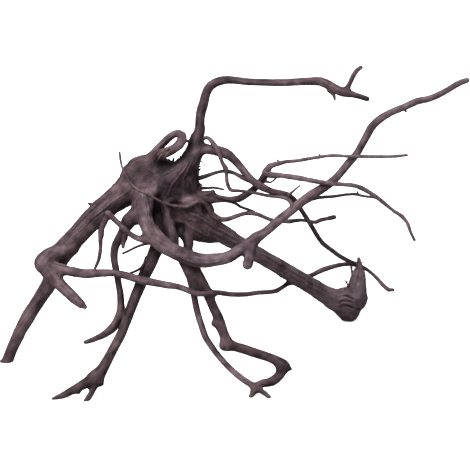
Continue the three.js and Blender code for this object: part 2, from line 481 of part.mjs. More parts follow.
function rootSolid() {
  const geometries = [
    ...BURL_LUMPS.map((lump) => lumpGeometry(lump, LUMP_SEGMENTS, LUMP_RINGS)),
    ...CROWN_KNOBS.map((lump) => lumpGeometry(lump, KNOB_SEGMENTS, KNOB_RINGS)),
    ...FOOT_KNOBS.map((lump) => lumpGeometry(lump, KNOB_SEGMENTS, KNOB_RINGS)),
    ...LEG_KNOBS.map((lump) => lumpGeometry(lump, KNOB_SEGMENTS, KNOB_RINGS)),
    ...LIMBS.map(limbGeometry),
  ];
  const grown = geometries.map(solidOf).reduce((sum, solid) => sum.add(solid));
  const hollows = HOLLOWS.map(hollowGeometry).map(solidOf);
  const whole = hollows.reduce((rest, hollow) => rest.subtract(hollow), grown);
  const floor = new THREE.BoxGeometry(FLOOR_BLOCK.side, FLOOR_BLOCK.side, FLOOR_BLOCK.depth);
  floor.translate(0, 0, -FLOOR_BLOCK.depth / 2);
  return whole.subtract(solidOf(floor));
}

function geometryOf(solid) {
  const mesh = solid.getMesh();
  const geometry = new THREE.BufferGeometry();
  geometry.setAttribute("position", new THREE.BufferAttribute(Float32Array.from(mesh.vertProperties), 3));
  geometry.setIndex(new THREE.BufferAttribute(Uint32Array.from(mesh.triVerts), 1));
  geometry.computeVertexNormals();
  return geometry;
}

const root = new THREE.Group();
const wood = new THREE.Mesh(geometryOf(rootSolid()), BARK);
wood.name = "spiderwood_root";
root.add(wood);

export default root;
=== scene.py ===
"""Spiderwood root: a washed, dried root with a gnarled crown, a leaning trunk, bowed limbs and long rootlets.

Every limb is a swept round section along a listed route. The limbs are grown together into one skin by a
smooth union of their distance fields, and the skin is then raised and cut by fibres, wrinkles and clefts.
"""

import logging
import math
from dataclasses import dataclass, field, replace
from enum import Enum

import bpy
import numpy as np
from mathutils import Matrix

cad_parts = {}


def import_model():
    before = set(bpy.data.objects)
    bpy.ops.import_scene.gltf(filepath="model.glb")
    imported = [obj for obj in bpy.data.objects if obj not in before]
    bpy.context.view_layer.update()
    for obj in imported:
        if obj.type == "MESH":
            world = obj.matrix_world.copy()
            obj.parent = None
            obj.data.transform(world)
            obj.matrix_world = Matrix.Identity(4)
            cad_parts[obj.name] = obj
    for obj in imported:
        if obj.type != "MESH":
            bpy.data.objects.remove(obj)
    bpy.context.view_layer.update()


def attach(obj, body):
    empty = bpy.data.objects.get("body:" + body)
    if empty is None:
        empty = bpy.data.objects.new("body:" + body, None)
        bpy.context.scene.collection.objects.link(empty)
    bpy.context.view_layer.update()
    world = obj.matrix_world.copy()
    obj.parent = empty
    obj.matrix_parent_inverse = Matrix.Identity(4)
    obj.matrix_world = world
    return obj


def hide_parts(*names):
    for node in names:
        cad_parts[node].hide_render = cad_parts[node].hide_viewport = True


LOG = logging.getLogger("root")

MILLIMETRE = 0.001
# How far the sight plane leans, its row at the floor, and the offsets that centre the root in the frame.
SIGHT_TILT = math.radians(22)
FLOOR_LINE = 401.0
MIDDLE_ACROSS = 234.73
MIDDLE_DEPTH = 123.49
SEED = 20
NEARLY_UPRIGHT = 0.8
DOME = np.array([0.0, 0.38, 0.71, 0.92])


# Routes of the limbs that share one skin: across, down, back and radius, in millimetres on the sight plane.
SKIN_ROUTES: dict[str, tuple[tuple[float, ...], ...]] = {
    "shoulder_flow": (
        (121, 193, 33, 10), (130, 183.5, 33, 12), (139.8, 172.8, 33, 16), (151, 170.8, 33, 16.4),
        (162, 177, 35, 18), (172, 186, 40, 18),
    ),
    "buttress_flow": (
        (198.5, 146, 25, 5.6), (194.5, 155, 24, 7), (187.5, 163.5, 23, 8.2), (179, 170, 23, 9.6),
        (171, 178, 25, 11.6), (165, 188, 28, 13.2), (162, 199, 32, 12),
    ),
    "right_flow": (
        (195.5, 150, 28, 6.2), (190.5, 161, 31, 9.4), (186.5, 174, 34, 12.8), (185, 188, 35, 14.6),
        (187, 200, 36, 14.6), (195, 211, 38, 12.6), (205, 221, 41, 10.8),
    ),
    "face_flow": (
        (158, 174, 34, 16.6), (164, 186, 33, 17.4), (169, 199, 33, 15), (175, 211, 32, 11.5),
        (181, 222, 28, 9), (186, 232, 22, 6),
    ),
    "great_flow": (
        (139, 177, 30, 12), (143.4, 188, 26, 11.4), (142.8, 198, 20, 10.6), (141.8, 206, 14, 10),
    ),
    "back_flow": (
        (150, 178, 44, 14), (162, 182, 52, 16), (176, 188, 54, 15.6), (190, 198, 50, 13.4),
        (203, 212, 46, 11.5),
    ),
    "leg_flow": ((160, 190, 44, 12), (157.5, 204, 42, 10), (157, 217, 36, 9), (160, 228, 28, 8.6)),
    "strand": (
        (197, 205, 24, 3), (201.5, 209.5, 27, 3.2), (206, 216.5, 31, 3.4), (212.5, 223, 37, 3.6),
        (221, 228.4, 46, 3.6), (231, 234.4, 57, 3.4),
    ),
    "lobe": (
        (182, 217, 22, 8), (188, 226, 22, 8.6), (196, 232.4, 26, 8.4), (205, 235.4, 36, 6.4),
        (215, 238, 46, 4),
    ),
    "trunk": (
        (138, 182, 34, 15), (128, 191.4, 33, 14), (117.6, 198.4, 33, 12), (107, 206.6, 35, 11.9),
        (95.5, 216.6, 38, 11.4), (79, 234, 44, 10.2), (63, 252, 50, 10), (56, 267, 57, 9.4),
        (49, 284, 64, 7.9), (39, 300, 72, 7.2), (28, 317, 80, 6.9), (18.6, 334.5, 88, 6.2),
        (7.6, 359, 97, 5.7), (3.4, 368, 100.5, 5.6),
    ),
    "elbow": ((70, 246.2, 50, 9.4), (58, 253.2, 46, 8.8), (49.4, 257.6, 42, 9.3), (44.6, 263.8, 39, 9.2)),
    "thumb": (
        (45, 263, 40, 9), (49.6, 273, 36, 8.2), (57, 281, 34, 6.8), (64.6, 288, 30, 6.1),
        (75, 298.4, 25, 5.4), (80.5, 303.2, 22, 4.6), (85.4, 306.8, 20, 2.4),
    ),
    "trailing_limb": (
        (50, 266, 38, 7), (60, 269.5, 36, 5.5), (71, 271.3, 33, 5.2), (84, 273.5, 28, 4.9),
        (102, 273, 20, 3.9), (115, 273, 13, 3.5), (126, 275.5, 9, 3.8), (140, 279.5, 5, 4.1),
        (155, 282.5, 3, 4), (165, 284.5, 2, 3.6), (178, 286.5, 1, 3.1), (187, 289.5, 0, 3.1),
        (195, 293, 0, 3), (205, 293.8, 5, 2.8), (218, 292.8, 16, 2.9), (230, 294.2, 32, 2.6),
        (245, 294.4, 56, 2.5), (258, 292.8, 80, 2.4), (270, 292, 103, 2.4), (276.5, 290.8, 114, 2.4),
        (283, 287, 126, 2.3), (290, 282.7, 138, 2.4), (300, 279, 151, 2.5), (312.5, 275.5, 166, 2.6),
        (320, 271.5, 175, 2.7), (328, 268.5, 183, 2.8), (340, 265.3, 196, 2.4), (349, 264.3, 205, 2.2),
        (357, 264.5, 209, 2.1),
    ),
    "small_loop": (
        (148, 162, 26, 5.4), (156.4, 151, 24, 4.2), (163.6, 143.6, 23, 4.1), (169.8, 137.6, 21, 4),
        (175.6, 134, 18, 3.8), (180.4, 134.4, 15, 4.4), (182.6, 138.4, 12, 5.2), (180.6, 143.4, 11, 5),
        (176, 147.8, 11, 4.8), (169.4, 151.6, 13, 5), (162.4, 154.4, 15, 5.4), (156, 160, 19, 5),
    ),
    "tall_limb": (
        (189, 166, 28, 8.6), (193.6, 149.6, 26, 7.2), (196, 140.4, 24, 7.4), (199.6, 131, 22, 5.6),
        (200, 121, 21, 4.8), (201.2, 112, 20, 4.9), (203.8, 103, 18, 4.8), (206, 94, 17, 4.7),
        (210.5, 86.5, 15, 4.6), (218, 82, 13, 4.5), (226, 80.4, 11, 4.2), (235, 80.7, 9, 3.9),
        (245, 82, 7, 3.6), (262, 83, 3, 3.7), (282, 83.2, -2, 3.8), (300, 82.3, -6, 3.8),
        (312, 81.9, -9, 4.1), (320.6, 82.2, -11, 4.5), (328.6, 86, -12, 4.9), (336, 90, -13, 4.7),
        (344, 93.3, -14, 4.4), (351, 94.6, -15, 3.5), (359, 97, -17, 2.8), (366.5, 99.5, -18, 2.6),
    ),
    "tall_twig": (
        (345, 92, -14, 3.1), (349.5, 84, -15, 2.5), (352.5, 77, -16, 2.5), (356, 71.5, -17, 2.4),
        (360.3, 68.3, -18, 2.2),
    ),
    "great_limb": (
        (156, 182, 28, 8.4), (148, 198, 14, 9.6), (144.6, 212, 7, 9.4), (147.6, 223, 2, 8.7),
        (153, 233.6, -1, 8.8), (162.5, 244, -3, 8), (172.5, 250, -4, 7.8), (184, 255.5, -4, 7.8),
        (196, 259.8, -4, 7.6), (205, 260.8, -4, 7.1), (214, 259.9, -3, 6.4), (223, 258.8, -2, 6.3),
        (232, 255.4, 0, 6.2), (240.5, 249.7, 2, 6), (249, 243, 4, 5.6), (258, 237, 6, 4.9),
        (266, 231.6, 7, 4.3), (273.6, 225, 8, 4.5), (281.2, 218.4, 9, 4.6), (289, 212.2, 9, 4.6),
        (297, 205.6, 9, 4.7), (304.5, 200, 9, 4.7), (312, 194.6, 9, 4.8), (320, 189.9, 8, 4.7),
        (327.4, 185.2, 8, 4.4), (334.8, 179.2, 8, 4), (341.4, 171.8, 8, 3.9), (349.4, 162, 7, 4),
        (356.6, 153.8, 6, 3.7), (361.8, 144.4, 5, 3.8), (366.8, 135.4, 4, 4), (370.8, 128, 3, 4),
        (376, 122.3, 2, 4.1), (385, 116, 1, 3.8), (395, 111, 0, 3.6), (404, 107.6, -2, 3.5),
        (410.5, 104.4, -3, 3.8), (418, 101.3, -4, 3.6), (426, 100, -5, 3.3), (434.5, 97, -6, 3.2),
        (443.5, 92.4, -8, 3.2), (452.4, 87.2, -10, 3.1), (460, 83, -11, 3), (466, 81, -12, 2.8),
    ),
    "great_knob": ((256, 238, 5, 4.6), (252.5, 246, 3, 4.4), (250.2, 253, 0, 5.2), (247.4, 264, -3, 5.4)),
    "heavy_limb": (
        (190, 208, 28, 13), (202, 220, 34, 12), (214, 229.5, 43, 10), (227, 237, 55, 8.5),
        (240, 244.5, 69, 7.9), (252, 251, 83, 7.7), (264, 258, 97, 7.7), (276.4, 265.1, 111, 7.9),
        (288.5, 272.6, 125, 8.1), (300.6, 279.7, 139, 8.2), (312.7, 286.9, 152, 8.3),
        (325, 294.6, 166, 8.8), (337, 300.8, 180, 11.2), (345, 305, 189, 11),
    ),
    "horn": (
        (356.6, 294, 198, 10.8), (358.2, 284, 198, 9.2), (358.9, 277, 197.4, 7.8),
        (359.6, 272.4, 196.6, 5.8), (360.6, 268.4, 195.6, 4), (359.8, 263.6, 194, 2.7),
        (359.5, 261, 193.2, 2.2), (359.5, 259.2, 192.6, 2),
    ),
    "bowed_limb": (
        (190, 158, 30, 6.5), (202, 149.6, 26, 5.3), (212, 150.1, 23, 5.1), (222, 152.2, 20, 5.3),
        (229, 155.4, 18, 4.9), (234.2, 160, 16, 4.2), (240, 166.4, 14, 3.8), (246, 173.8, 12, 3.7),
        (252.4, 180.6, 10, 3.8), (259, 185.2, 9, 4), (265.6, 188.9, 9, 3.8), (272.4, 191.6, 10, 3.1),
        (280, 193.2, 12, 3.2), (287, 195.2, 15, 3.2), (293, 199, 21, 2.9), (298, 205, 31, 2.6),
        (302.4, 212, 43, 2.4), (308.4, 221, 60, 2.5), (313.6, 229.6, 78, 2.4), (318.4, 237.4, 96, 2.4),
        (323.4, 243.6, 114, 2.4), (331, 249.6, 135, 2.3), (340.8, 256.6, 160, 2.3), (349, 261, 184, 2.3),
        (356, 264.2, 206, 2.2), (366, 268.8, 208, 2), (373.3, 274.2, 205, 2), (379.3, 280.3, 201, 2.2),
        (385.4, 286.9, 197, 2.3), (389.8, 290.2, 195, 2.3), (394, 290.2, 193, 1.8),
    ),
    "bowed_fork": (
        (298, 206, 32, 2.5), (303.6, 203.4, 31, 2.2), (311.8, 199.3, 29, 1.9), (321, 197.4, 26, 1.8),
        (333.8, 196.5, 22, 1.7), (346.5, 194.6, 19, 1.5), (356, 194.4, 17, 1.6), (363.1, 196.4, 16, 1.4),
        (372, 197.2, 16, 1.4), (377.4, 198.6, 16, 1.4),
    ),
    "crossing_limb": (
        (198, 196, 34, 5), (208, 195.6, 31, 4), (216, 196.6, 28, 2.5), (224, 198, 26, 2),
        (229.5, 198.7, 25.6, 2.2), (234.4, 199.1, 25, 2.9), (239, 198.8, 24, 3.6),
        (243.6, 196.3, 23.4, 3.6), (248.6, 193.2, 22.6, 3.5), (254.6, 188.6, 21.6, 3.6),
        (259, 184, 20.8, 3.7), (262.2, 180, 20, 3.8), (265.4, 174.6, 19, 4), (268, 169.6, 18, 3.1),
    ),
    "ridge": (
        (180, 207, 18, 2.6), (187, 205.8, 17, 2.8), (193, 202.8, 17, 3), (199.6, 202, 19, 3.1),
        (205, 204.4, 23, 3.1), (209, 210.4, 26, 3.2), (212.4, 216.6, 30, 3.2), (218, 219.2, 33, 2.4),
    ),
    "crown_stub": ((203, 198, 30, 6), (209.6, 194.8, 28, 4), (212.6, 192.2, 27, 2.5)),
    "left_stub": (
        (108.6, 213.6, 4, 3.2), (113.4, 218.2, 4, 2.9), (120, 224.2, 3, 3), (126, 230, 2, 3),
        (132, 235, 1, 3), (139.6, 238.6, 0, 3.4), (148, 240, -1, 4.4),
    ),
    "left_bump": ((146, 208, 10, 9), (138, 214.8, 10, 9), (131.6, 219.4, 12, 7), (126.6, 225.6, 15, 5.6)),
    "left_leg": (
        (129, 220, 13, 6), (124, 230.4, 18, 5), (119.2, 239, 21, 4.4), (115.4, 246.6, 24, 4),
        (114.2, 255, 26.6, 3.8), (114.9, 263, 28, 3.6), (116.8, 272, 29, 3.6), (118.6, 282, 30, 3.6),
        (120.4, 292, 30, 3.6), (121.2, 302, 29, 3.8), (121.2, 311.6, 28, 4.5), (118.6, 320, 28, 4.9),
        (113, 327.6, 30, 4.5), (105.2, 333.8, 34, 3.6), (97, 337.9, 40, 3), (90, 340.8, 46, 2.5),
        (85.4, 342.2, 50, 2),
    ),
    "forked_leg": (
        (164, 232, 22, 8), (157.4, 247, 20, 7), (152, 260, 20, 6.6), (147.4, 269.2, 21, 6.3),
        (143.4, 278, 22, 6), (139.8, 287, 22, 5.8), (136, 296, 22, 5.6), (132.2, 305, 21, 5.4),
        (129.4, 313, 20, 5.1), (126.2, 322, 18, 4.9), (122.2, 332, 16, 4.9), (117.2, 342, 14, 4.9),
        (111.8, 352.2, 11, 4.9), (106.4, 362.4, 9, 5.2), (101.6, 370.4, 8, 6), (96, 377.4, 7, 6.8),
    ),
    "long_prong": (
        (97, 376.6, 7, 6.6), (87, 382.6, 7, 5.2), (77.6, 387.4, 7, 4.4), (69.4, 391.8, 7, 3.9),
        (61.4, 395.6, 5.6, 3), (53, 398.3, 4, 1.3),
    ),
    "short_prong": (
        (95, 382, 7, 5.2), (93.4, 388.6, 5.5, 3.3), (90.6, 394.2, 4, 2.9), (86.6, 400.4, 2.2, 2.7),
    ),
    "leg_neck": (
        (180, 219, 26, 11), (184.4, 230, 22, 8), (187.8, 239, 18, 5.6), (188.4, 243.4, 17, 5.3),
        (187.7, 249.5, 15, 4.7), (190.6, 262, 14, 6.8),
    ),
    "hem": (
        (168, 203, 26, 8.6), (168.6, 215, 20, 7.6), (170.6, 227, 15, 7.4), (172.2, 237, 9, 7),
        (174, 246, 6, 5.6),
    ),
    "web": ((186, 214, 28, 11), (194, 225, 28, 9.6), (201, 233, 34, 8), (210, 237.6, 42, 5)),
    "slim_leg": (
        (184, 258, 10, 6.6), (187.6, 268, 11, 5.6), (190.8, 277.6, 12, 4.7), (192.6, 287, 13, 3.8),
        (194.8, 297, 14, 3.5), (196.4, 306, 15, 3.4), (198.8, 316, 16, 3.3), (202.3, 326.8, 17, 3.4),
        (205.8, 337, 18, 3.3), (210.7, 344.6, 18, 3.2), (216, 352, 18, 3.1), (222.1, 359.4, 17, 3),
        (229, 367, 16, 3), (237.2, 374.5, 15, 3.1), (246, 381, 14, 3.3), (253.8, 386, 13, 3.3),
        (262.2, 391, 11, 2.6), (268.8, 396.3, 8.6, 2.2),
    ),
    "knotted_leg": (
        (189, 258, 14, 6.4), (194, 268.6, 13, 6.2), (199.6, 278.2, 13, 6), (204.4, 287.4, 14, 5.7),
        (209.6, 298, 14, 5.3), (213.4, 307, 13, 5), (217.6, 316, 12, 5), (220.4, 324.6, 11, 5.4),
        (223.2, 332.6, 10, 5.1), (226, 340, 10, 5.4), (227.4, 344.6, 11, 5.4),
    ),
    "knotted_shin": (
        (227, 344, 11, 5.4), (236, 346.6, 13, 4.7), (246, 349.5, 16, 4.8), (257, 353.2, 19, 4.8),
        (267.6, 356.8, 21, 4.5), (276.4, 360.8, 22, 4.9), (282.4, 365.4, 22, 5.4),
    ),
    "knotted_heel": (
        (283, 366, 22, 5.4), (280, 374, 21, 4.9), (274.4, 379.8, 20, 5.1), (267.6, 382.4, 18, 4.5),
        (261, 383.4, 16, 4.2), (256.6, 387, 14, 3.7), (253.4, 391.4, 12, 3.2), (251, 395.8, 10.6, 2.5),
    ),
    "heel_corner": ((282, 366, 22, 5), (287, 367.6, 22, 3.2), (290.4, 368.8, 22, 1.4)),
}

# Routes of the fine rootlets and spurs, and of the strands that lie on the wood. Across, down and radius were
# placed one by one. The back values of the vein, fibres, waves, scar, fold and frayed strips were worked out
# beforehand by another script, which laid them on the front of the limbs.
ROOTLET_ROUTES: dict[str, tuple[tuple[float, ...], ...]] = {
    "ridge_vein": (
        (176, 206, 14.8, 1.2), (182, 206.8, 13.9, 1.4), (188, 206.4, 13.1, 1.6), (193, 203.8, 12.8, 1.7),
        (198, 202, 13.9, 1.7), (203.6, 202.8, 16.6, 1.7), (207.6, 207, 19.7, 1.7),
        (210.2, 212.4, 22.1, 1.7), (213.2, 217, 24.5, 1.6), (218, 219, 27.8, 1.5),
    ),
    "web_fibre_1": (
        (190, 212.8, 16.1, 0.3), (195, 215.7, 17.9, 0.9), (203, 220.4, 21.9, 1.2), (212, 226.4, 28.2, 1.2),
        (224, 233, 39.6, 1.1), (238, 241, 55, 0.7),
    ),
    "web_fibre_2": (
        (188, 217.6, 15.2, 0.3), (193.5, 220.9, 17.5, 0.9), (201, 225.6, 21.5, 1.3),
        (210, 231.2, 29.8, 1.2), (222, 237.6, 40.5, 1), (234, 244.4, 53.6, 0.7),
    ),
    "web_fibre_3": (
        (194, 210, 15.7, 0.3), (200, 213.4, 19, 0.9), (208, 219, 23.9, 1.1), (218, 225.4, 33.2, 1),
        (230, 231.6, 46.9, 0.8),
    ),
    "web_fibre_4": (
        (185, 222, 13.5, 0.3), (190.5, 226.6, 13.9, 1.2), (198, 231.4, 17.8, 1.4), (207, 235.6, 27.5, 1.1),
        (215, 238.6, 39.1, 0.6),
    ),
    "crown_fibre_1": (
        (190, 161, 15.5, 0.7), (184, 170, 14.6, 1.2), (177, 178.6, 14.7, 1.3), (171, 187, 15.4, 1.2),
        (168, 197, 17.5, 0.7),
    ),
    "crown_fibre_2": (
        (193.4, 158, 16.5, 0.7), (189.4, 167, 15.9, 1.1), (184.6, 176, 18.1, 1.2), (181, 186, 21.4, 1.1),
        (180, 196, 22.5, 0.7),
    ),
    "crown_fibre_3": (
        (146, 168, 17.3, 0.6), (153, 172, 16.9, 1.1), (161, 174.6, 17.2, 1.2), (170, 172, 14.8, 1.1),
        (178, 165, 15, 0.6),
    ),
    "great_fibre_1": (
        (141, 186, 14.6, 0.7), (146, 196, 4.5, 1.2), (148.6, 208, -0.3, 1.3), (149.6, 220, -5.7, 1.2),
        (154, 231, -9.1, 1.1), (163, 240.6, -10.3, 0.7),
    ),
    "great_fibre_2": (
        (136.6, 196, 10.9, 0.7), (138.6, 206, 2.7, 1.2), (140.4, 218, -2.4, 1.2), (144, 229, -5.3, 1.1),
        (150, 238, -8.1, 0.7),
    ),
    "great_fibre_3": (
        (168, 250.4, -10.9, 0.6), (180, 257, -10.9, 1.1), (194, 262, -10.9, 1.2), (208, 263, -10, 1.1),
        (222, 260.6, -8.1, 0.7),
    ),
    "trunk_fibre_1": (
        (126, 180, 21.9, 0.7), (115, 190, 23.9, 1.2), (104, 199, 25.9, 1.3), (92, 209.4, 29.1, 1.2),
        (80, 222, 34, 1.1), (68, 235, 39.2, 0.7),
    ),
    "trunk_fibre_2": (
        (128, 191, 19.1, 0.7), (117, 199, 21.2, 1.2), (106, 207.4, 23.4, 1.3), (94, 217, 26.9, 1.2),
        (82, 230, 32, 0.7),
    ),
    "heavy_fibre_1": (
        (260, 252.4, 80.7, 0.6), (268, 256.4, 89.7, 1), (284, 266, 108, 1.1), (300, 275.4, 126.1, 1.1),
        (316, 285, 143.6, 0.9), (330, 293, 158.7, 0.6),
    ),
    "heavy_fibre_2": (
        (262, 257.6, 84.3, 0.6), (278, 267, 102.6, 1), (294, 276.6, 120.6, 1.1), (310, 286, 138.5, 1),
        (326, 296, 155.7, 0.6),
    ),
    "burl_wave_1": (
        (340, 296.4, 167.9, 0.5), (345, 294.6, 174.6, 1.3), (350.6, 295.6, 181.3, 1.3),
        (356, 298.4, 184.4, 1.3), (362, 298.6, 186, 0.5),
    ),
    "burl_wave_2": (
        (338, 300.6, 166.2, 0.5), (344, 298.6, 171.1, 1.4), (350, 300.2, 178, 1.4),
        (355.4, 303.2, 185, 1.3), (361, 303.4, 186.6, 0.5),
    ),
    "burl_wave_3": (
        (337, 305.4, 168.3, 0.5), (343, 303, 170.7, 1.3), (349.6, 303.8, 177, 1.4),
        (355, 306.6, 184.1, 1.2), (359, 306.4, 187.6, 0.5),
    ),
    # Three dark strands in the grooves between the burl waves paint the shade of those grooves.
    "burl_groove_shade_1": (
        (344.6, 297.4, 172.6, 0.3), (348, 297, 176.4, 0.6), (351.6, 298.2, 181, 0.6),
        (355, 300.2, 183.6, 0.3),
    ),
    "burl_groove_shade_2": (
        (339, 303.2, 167, 0.3), (344, 301, 170.6, 0.7), (350, 302.2, 177, 0.8), (355.2, 305, 184, 0.7),
        (359.4, 305, 186.6, 0.3),
    ),
    "burl_groove_shade_3": (
        (339, 308, 171, 0.3), (344, 305.8, 171.4, 0.6), (349.6, 306, 177, 0.7), (354.4, 308.6, 184, 0.7),
        (358, 309.4, 187, 0.6), (361.6, 308.8, 189, 0.3),
    ),
    "horn_fibre": (
        (355, 288, 188.4, 0.5), (356.6, 281, 189.4, 0.9), (358, 275, 190.1, 0.9), (360, 269, 191.6, 0.6),
    ),
    "elbow_scar": (
        (56.4, 273.6, 28.9, 0.4), (57.4, 271.8, 30.8, 0.7), (59.2, 272, 30.8, 0.7), (60.2, 274, 31.9, 0.7),
        (60, 276.6, 29.3, 0.6), (59.4, 279, 27.4, 0.4),
    ),
    "elbow_fold": (
        (52, 260, 32.6, 0.5), (57, 263.4, 32.6, 1), (62, 265, 32.5, 1.1), (67, 266.2, 30.8, 0.8),
    ),
    "frayed_strip_1": (
        (168.6, 149.6, 7.5, 1.2), (163.2, 152.2, 8.6, 1.5), (157.6, 155.4, 10.9, 1.4),
        (154.6, 160.4, 13.4, 1), (154.8, 165, 17.5, 0.7), (156, 168.4, 17.1, 0.35),
    ),
    "frayed_strip_2": (
        (166.6, 152.8, 7.9, 1.1), (161.6, 155.6, 9.1, 1.3), (158.8, 160, 11.9, 1.1), (159.2, 164, 19, 0.6),
        (160.4, 166.4, 18.9, 0.3),
    ),
    "frayed_strip_3": (
        (170, 151.8, 7.2, 1), (166.4, 155.4, 8.7, 1.1), (164, 158.8, 11.7, 0.8), (163.6, 161.4, 23.2, 0.4),
    ),
    "frayed_strip_4": (
        (160, 151.4, 10.6, 1), (155.4, 154, 14.4, 1.3), (152.6, 157.6, 15.5, 1.1),
        (152.4, 161.6, 15.6, 0.5),
    ),
    "trunk_nub": ((94, 207, 36, 2.4), (90.8, 204.4, 36, 1.4), (88.9, 203.6, 36, 0.8)),
    "loop_bridge": ((183.6, 138.6, 13, 1.6), (187, 141, 16, 0.9), (191, 142.4, 20, 1.8)),
    "splinter_1": ((172.4, 163, 24, 1.5), (173.8, 159.2, 23, 0.8), (174.3, 157.2, 23, 0.35)),
    "splinter_2": ((176.4, 162.4, 23, 1.4), (177.8, 159.6, 22.4, 0.7), (178.6, 158, 22, 0.3)),
    "splinter_3": ((179.6, 161.4, 22, 1.3), (180.3, 158, 22, 0.7), (180.5, 156.2, 22, 0.4)),
    "splinter_4": ((170.6, 163.4, 24, 1.5), (170, 160.6, 24, 0.8), (168.4, 159.4, 24, 0.35)),
    "edge_hair_1": (
        (198, 160.2, 30, 0.7), (201.4, 161.6, 28, 0.35), (203.4, 163.4, 27, 0.25), (205, 165, 26, 0.2),
    ),
    "edge_hair_2": ((197.4, 166.9, 31, 0.6), (201.6, 166.3, 29, 0.3), (205.9, 165.4, 28, 0.2)),
    "edge_snag_1": ((197, 170.6, 33, 1.6), (199.8, 169.8, 33, 0.9), (200.6, 168.6, 33, 0.4)),
    "edge_snag_2": ((197, 182.4, 33, 1.8), (200, 184.6, 33, 1.3), (202.4, 185.4, 33, 0.5)),
    "horn_strand": (
        (352.2, 264.4, 205, 1.5), (352.1, 267.4, 203, 0.95), (352.4, 270.6, 201, 0.85),
        (353, 273.6, 199, 1.1), (354.4, 277, 197, 1.8),
    ),
    "horn_hair_1": (
        (349, 286, 190, 0.9), (347.4, 283.6, 190, 0.4), (345.9, 281.5, 190, 0.3), (344.2, 280.1, 190, 0.2),
    ),
    "horn_hair_2": ((347.2, 283.2, 190, 0.35), (346.7, 280.2, 190, 0.2)),
    "horn_hair_3": ((347.6, 284, 190, 0.35), (348.2, 281.4, 190, 0.2)),
    "horn_hair_4": ((361.2, 264.2, 194, 0.6), (362.7, 262.7, 193, 0.35), (364, 261.2, 193, 0.2)),
    "tall_spur": ((330, 90, -12, 3), (333.5, 96, -11, 1.5), (334.6, 100.5, -10, 0.7)),
    "great_spur": ((403, 108, -2, 2.4), (405.4, 111.8, -2, 0.9)),
    "bowed_twig": ((288, 195.8, 14, 1.6), (293.4, 191, 12, 0.9), (299.6, 185.9, 9, 0.7)),
    "upper_rootlet": (
        (266.4, 171.6, 19, 3.2), (269.4, 167, 17, 2.7), (273.6, 165, 15, 2.2), (279, 163.6, 13, 2),
        (286, 162, 10, 1.7), (296.5, 161, 7, 1.5), (308, 159.1, 4, 1.5), (319.5, 157.2, 2, 1.5),
        (329.4, 156, 0.5, 1.4), (336, 155.8, 0, 1.5), (346.5, 156.5, -0.5, 1.4), (359.3, 156.7, -0.5, 1.4),
        (375.9, 156.9, 0, 1.3), (392.4, 156.7, 1, 1.3), (406.2, 155.4, 3, 1.2),
    ),
    "lower_rootlet": (
        (266, 173.4, 19, 3.4), (271, 175.2, 17, 2.8), (277, 175.4, 15.4, 2.6), (282, 175.8, 13.6, 2.3),
        (289, 176.8, 11, 2.3), (300.4, 178.6, 7, 2.4), (308, 180.1, 4, 2.3), (318, 182, 1.5, 2.2),
        (327.4, 183.3, 0.5, 1.9), (341.4, 184.5, 2, 1.9), (352.9, 185.6, 5, 2), (359.6, 187.6, 8, 2.1),
        (367, 191.4, 12, 1.9), (376, 197.1, 15, 1.8), (384.8, 204.1, 19, 1.6), (393.7, 211.2, 23, 1.5),
        (401.4, 216.3, 26, 1.7), (407.1, 223.3, 28, 1.5), (410.3, 232.2, 30, 1.3), (414.1, 239.9, 31, 1.1),
    ),
    "hooked_twig": (
        (263.4, 181, 20, 2.4), (266.6, 181.6, 18.6, 1.2), (269.8, 182.6, 17, 0.8), (272.6, 181.4, 16, 0.75),
        (276.6, 177.6, 15, 0.75),
    ),
    "lace_twig": (
        (200, 140.6, 24, 2.8), (204.6, 138.4, 20, 1.4), (208, 138.1, 18, 1.6), (212.4, 142.5, 15, 1.9),
        (216.6, 148.4, 13, 2.1), (219.8, 155.5, 11, 1.8), (222.3, 162.7, 10, 1.6), (225.8, 169.2, 9, 2.1),
        (226.6, 176, 9, 1.55), (227.2, 182.6, 9, 1.6), (229.6, 188.6, 9, 1.5), (232.4, 190.7, 9, 1.4),
        (237, 190.8, 10, 1.3), (243, 191.4, 12, 1.25), (250.4, 192.6, 14, 1.2), (257.4, 193.6, 13, 1.3),
        (266, 195.5, 12, 1.4), (274, 196.5, 11, 1.4), (281.2, 197.3, 10, 1.5), (286.6, 198.9, 9, 1.6),
        (290.2, 202, 7, 1.7), (291.5, 206, 6, 1.7), (291, 211, 7, 1.7),
    ),
    "side_rootlet": (
        (196, 178.8, 34, 2.6), (202, 177.5, 30, 1.85), (209.6, 175, 27, 1.7), (216, 172.8, 24, 1.55),
        (222.9, 171.4, 21, 1.5), (228.9, 171.8, 19, 1.7), (233.8, 173.2, 17.6, 1.7),
        (238.6, 175.6, 16, 1.8), (243.5, 178.5, 14, 1.9), (248, 180.8, 12, 1.7), (251, 181.6, 11, 1.7),
    ),
    "short_stick": (
        (198, 188.6, 34, 3.4), (202.4, 188.2, 33.4, 1.6), (207.5, 188.2, 33, 1.2), (213.2, 187.8, 32, 1.1),
        (218, 188.4, 31, 1.05), (223.4, 189.6, 30, 0.9),
    ),
    "low_rootlet": (
        (211, 215, 28, 3.4), (219.6, 219, 33, 2.4), (226.1, 219.4, 35, 2.2), (232.2, 217.7, 37, 2),
        (239.1, 215.2, 38, 1.8), (245.3, 213.5, 38, 1.8), (252.1, 213.3, 37, 1.95), (258.3, 214.7, 35, 1.8),
        (263.6, 216.9, 33, 1.65), (269, 219.2, 31, 1.6), (276, 221, 30, 1.7), (283.5, 221.2, 30, 1.8),
        (289, 221.5, 32, 1.9), (295, 220.7, 36, 1.7), (302, 220.2, 40, 1.5), (310.3, 221.6, 44, 1.5),
        (315.7, 222.2, 47, 1.7), (321, 219.9, 49, 1.7), (327.1, 218.7, 51, 1.6), (334.2, 217.1, 54, 1.9),
    ),
    "linking_rootlet": (
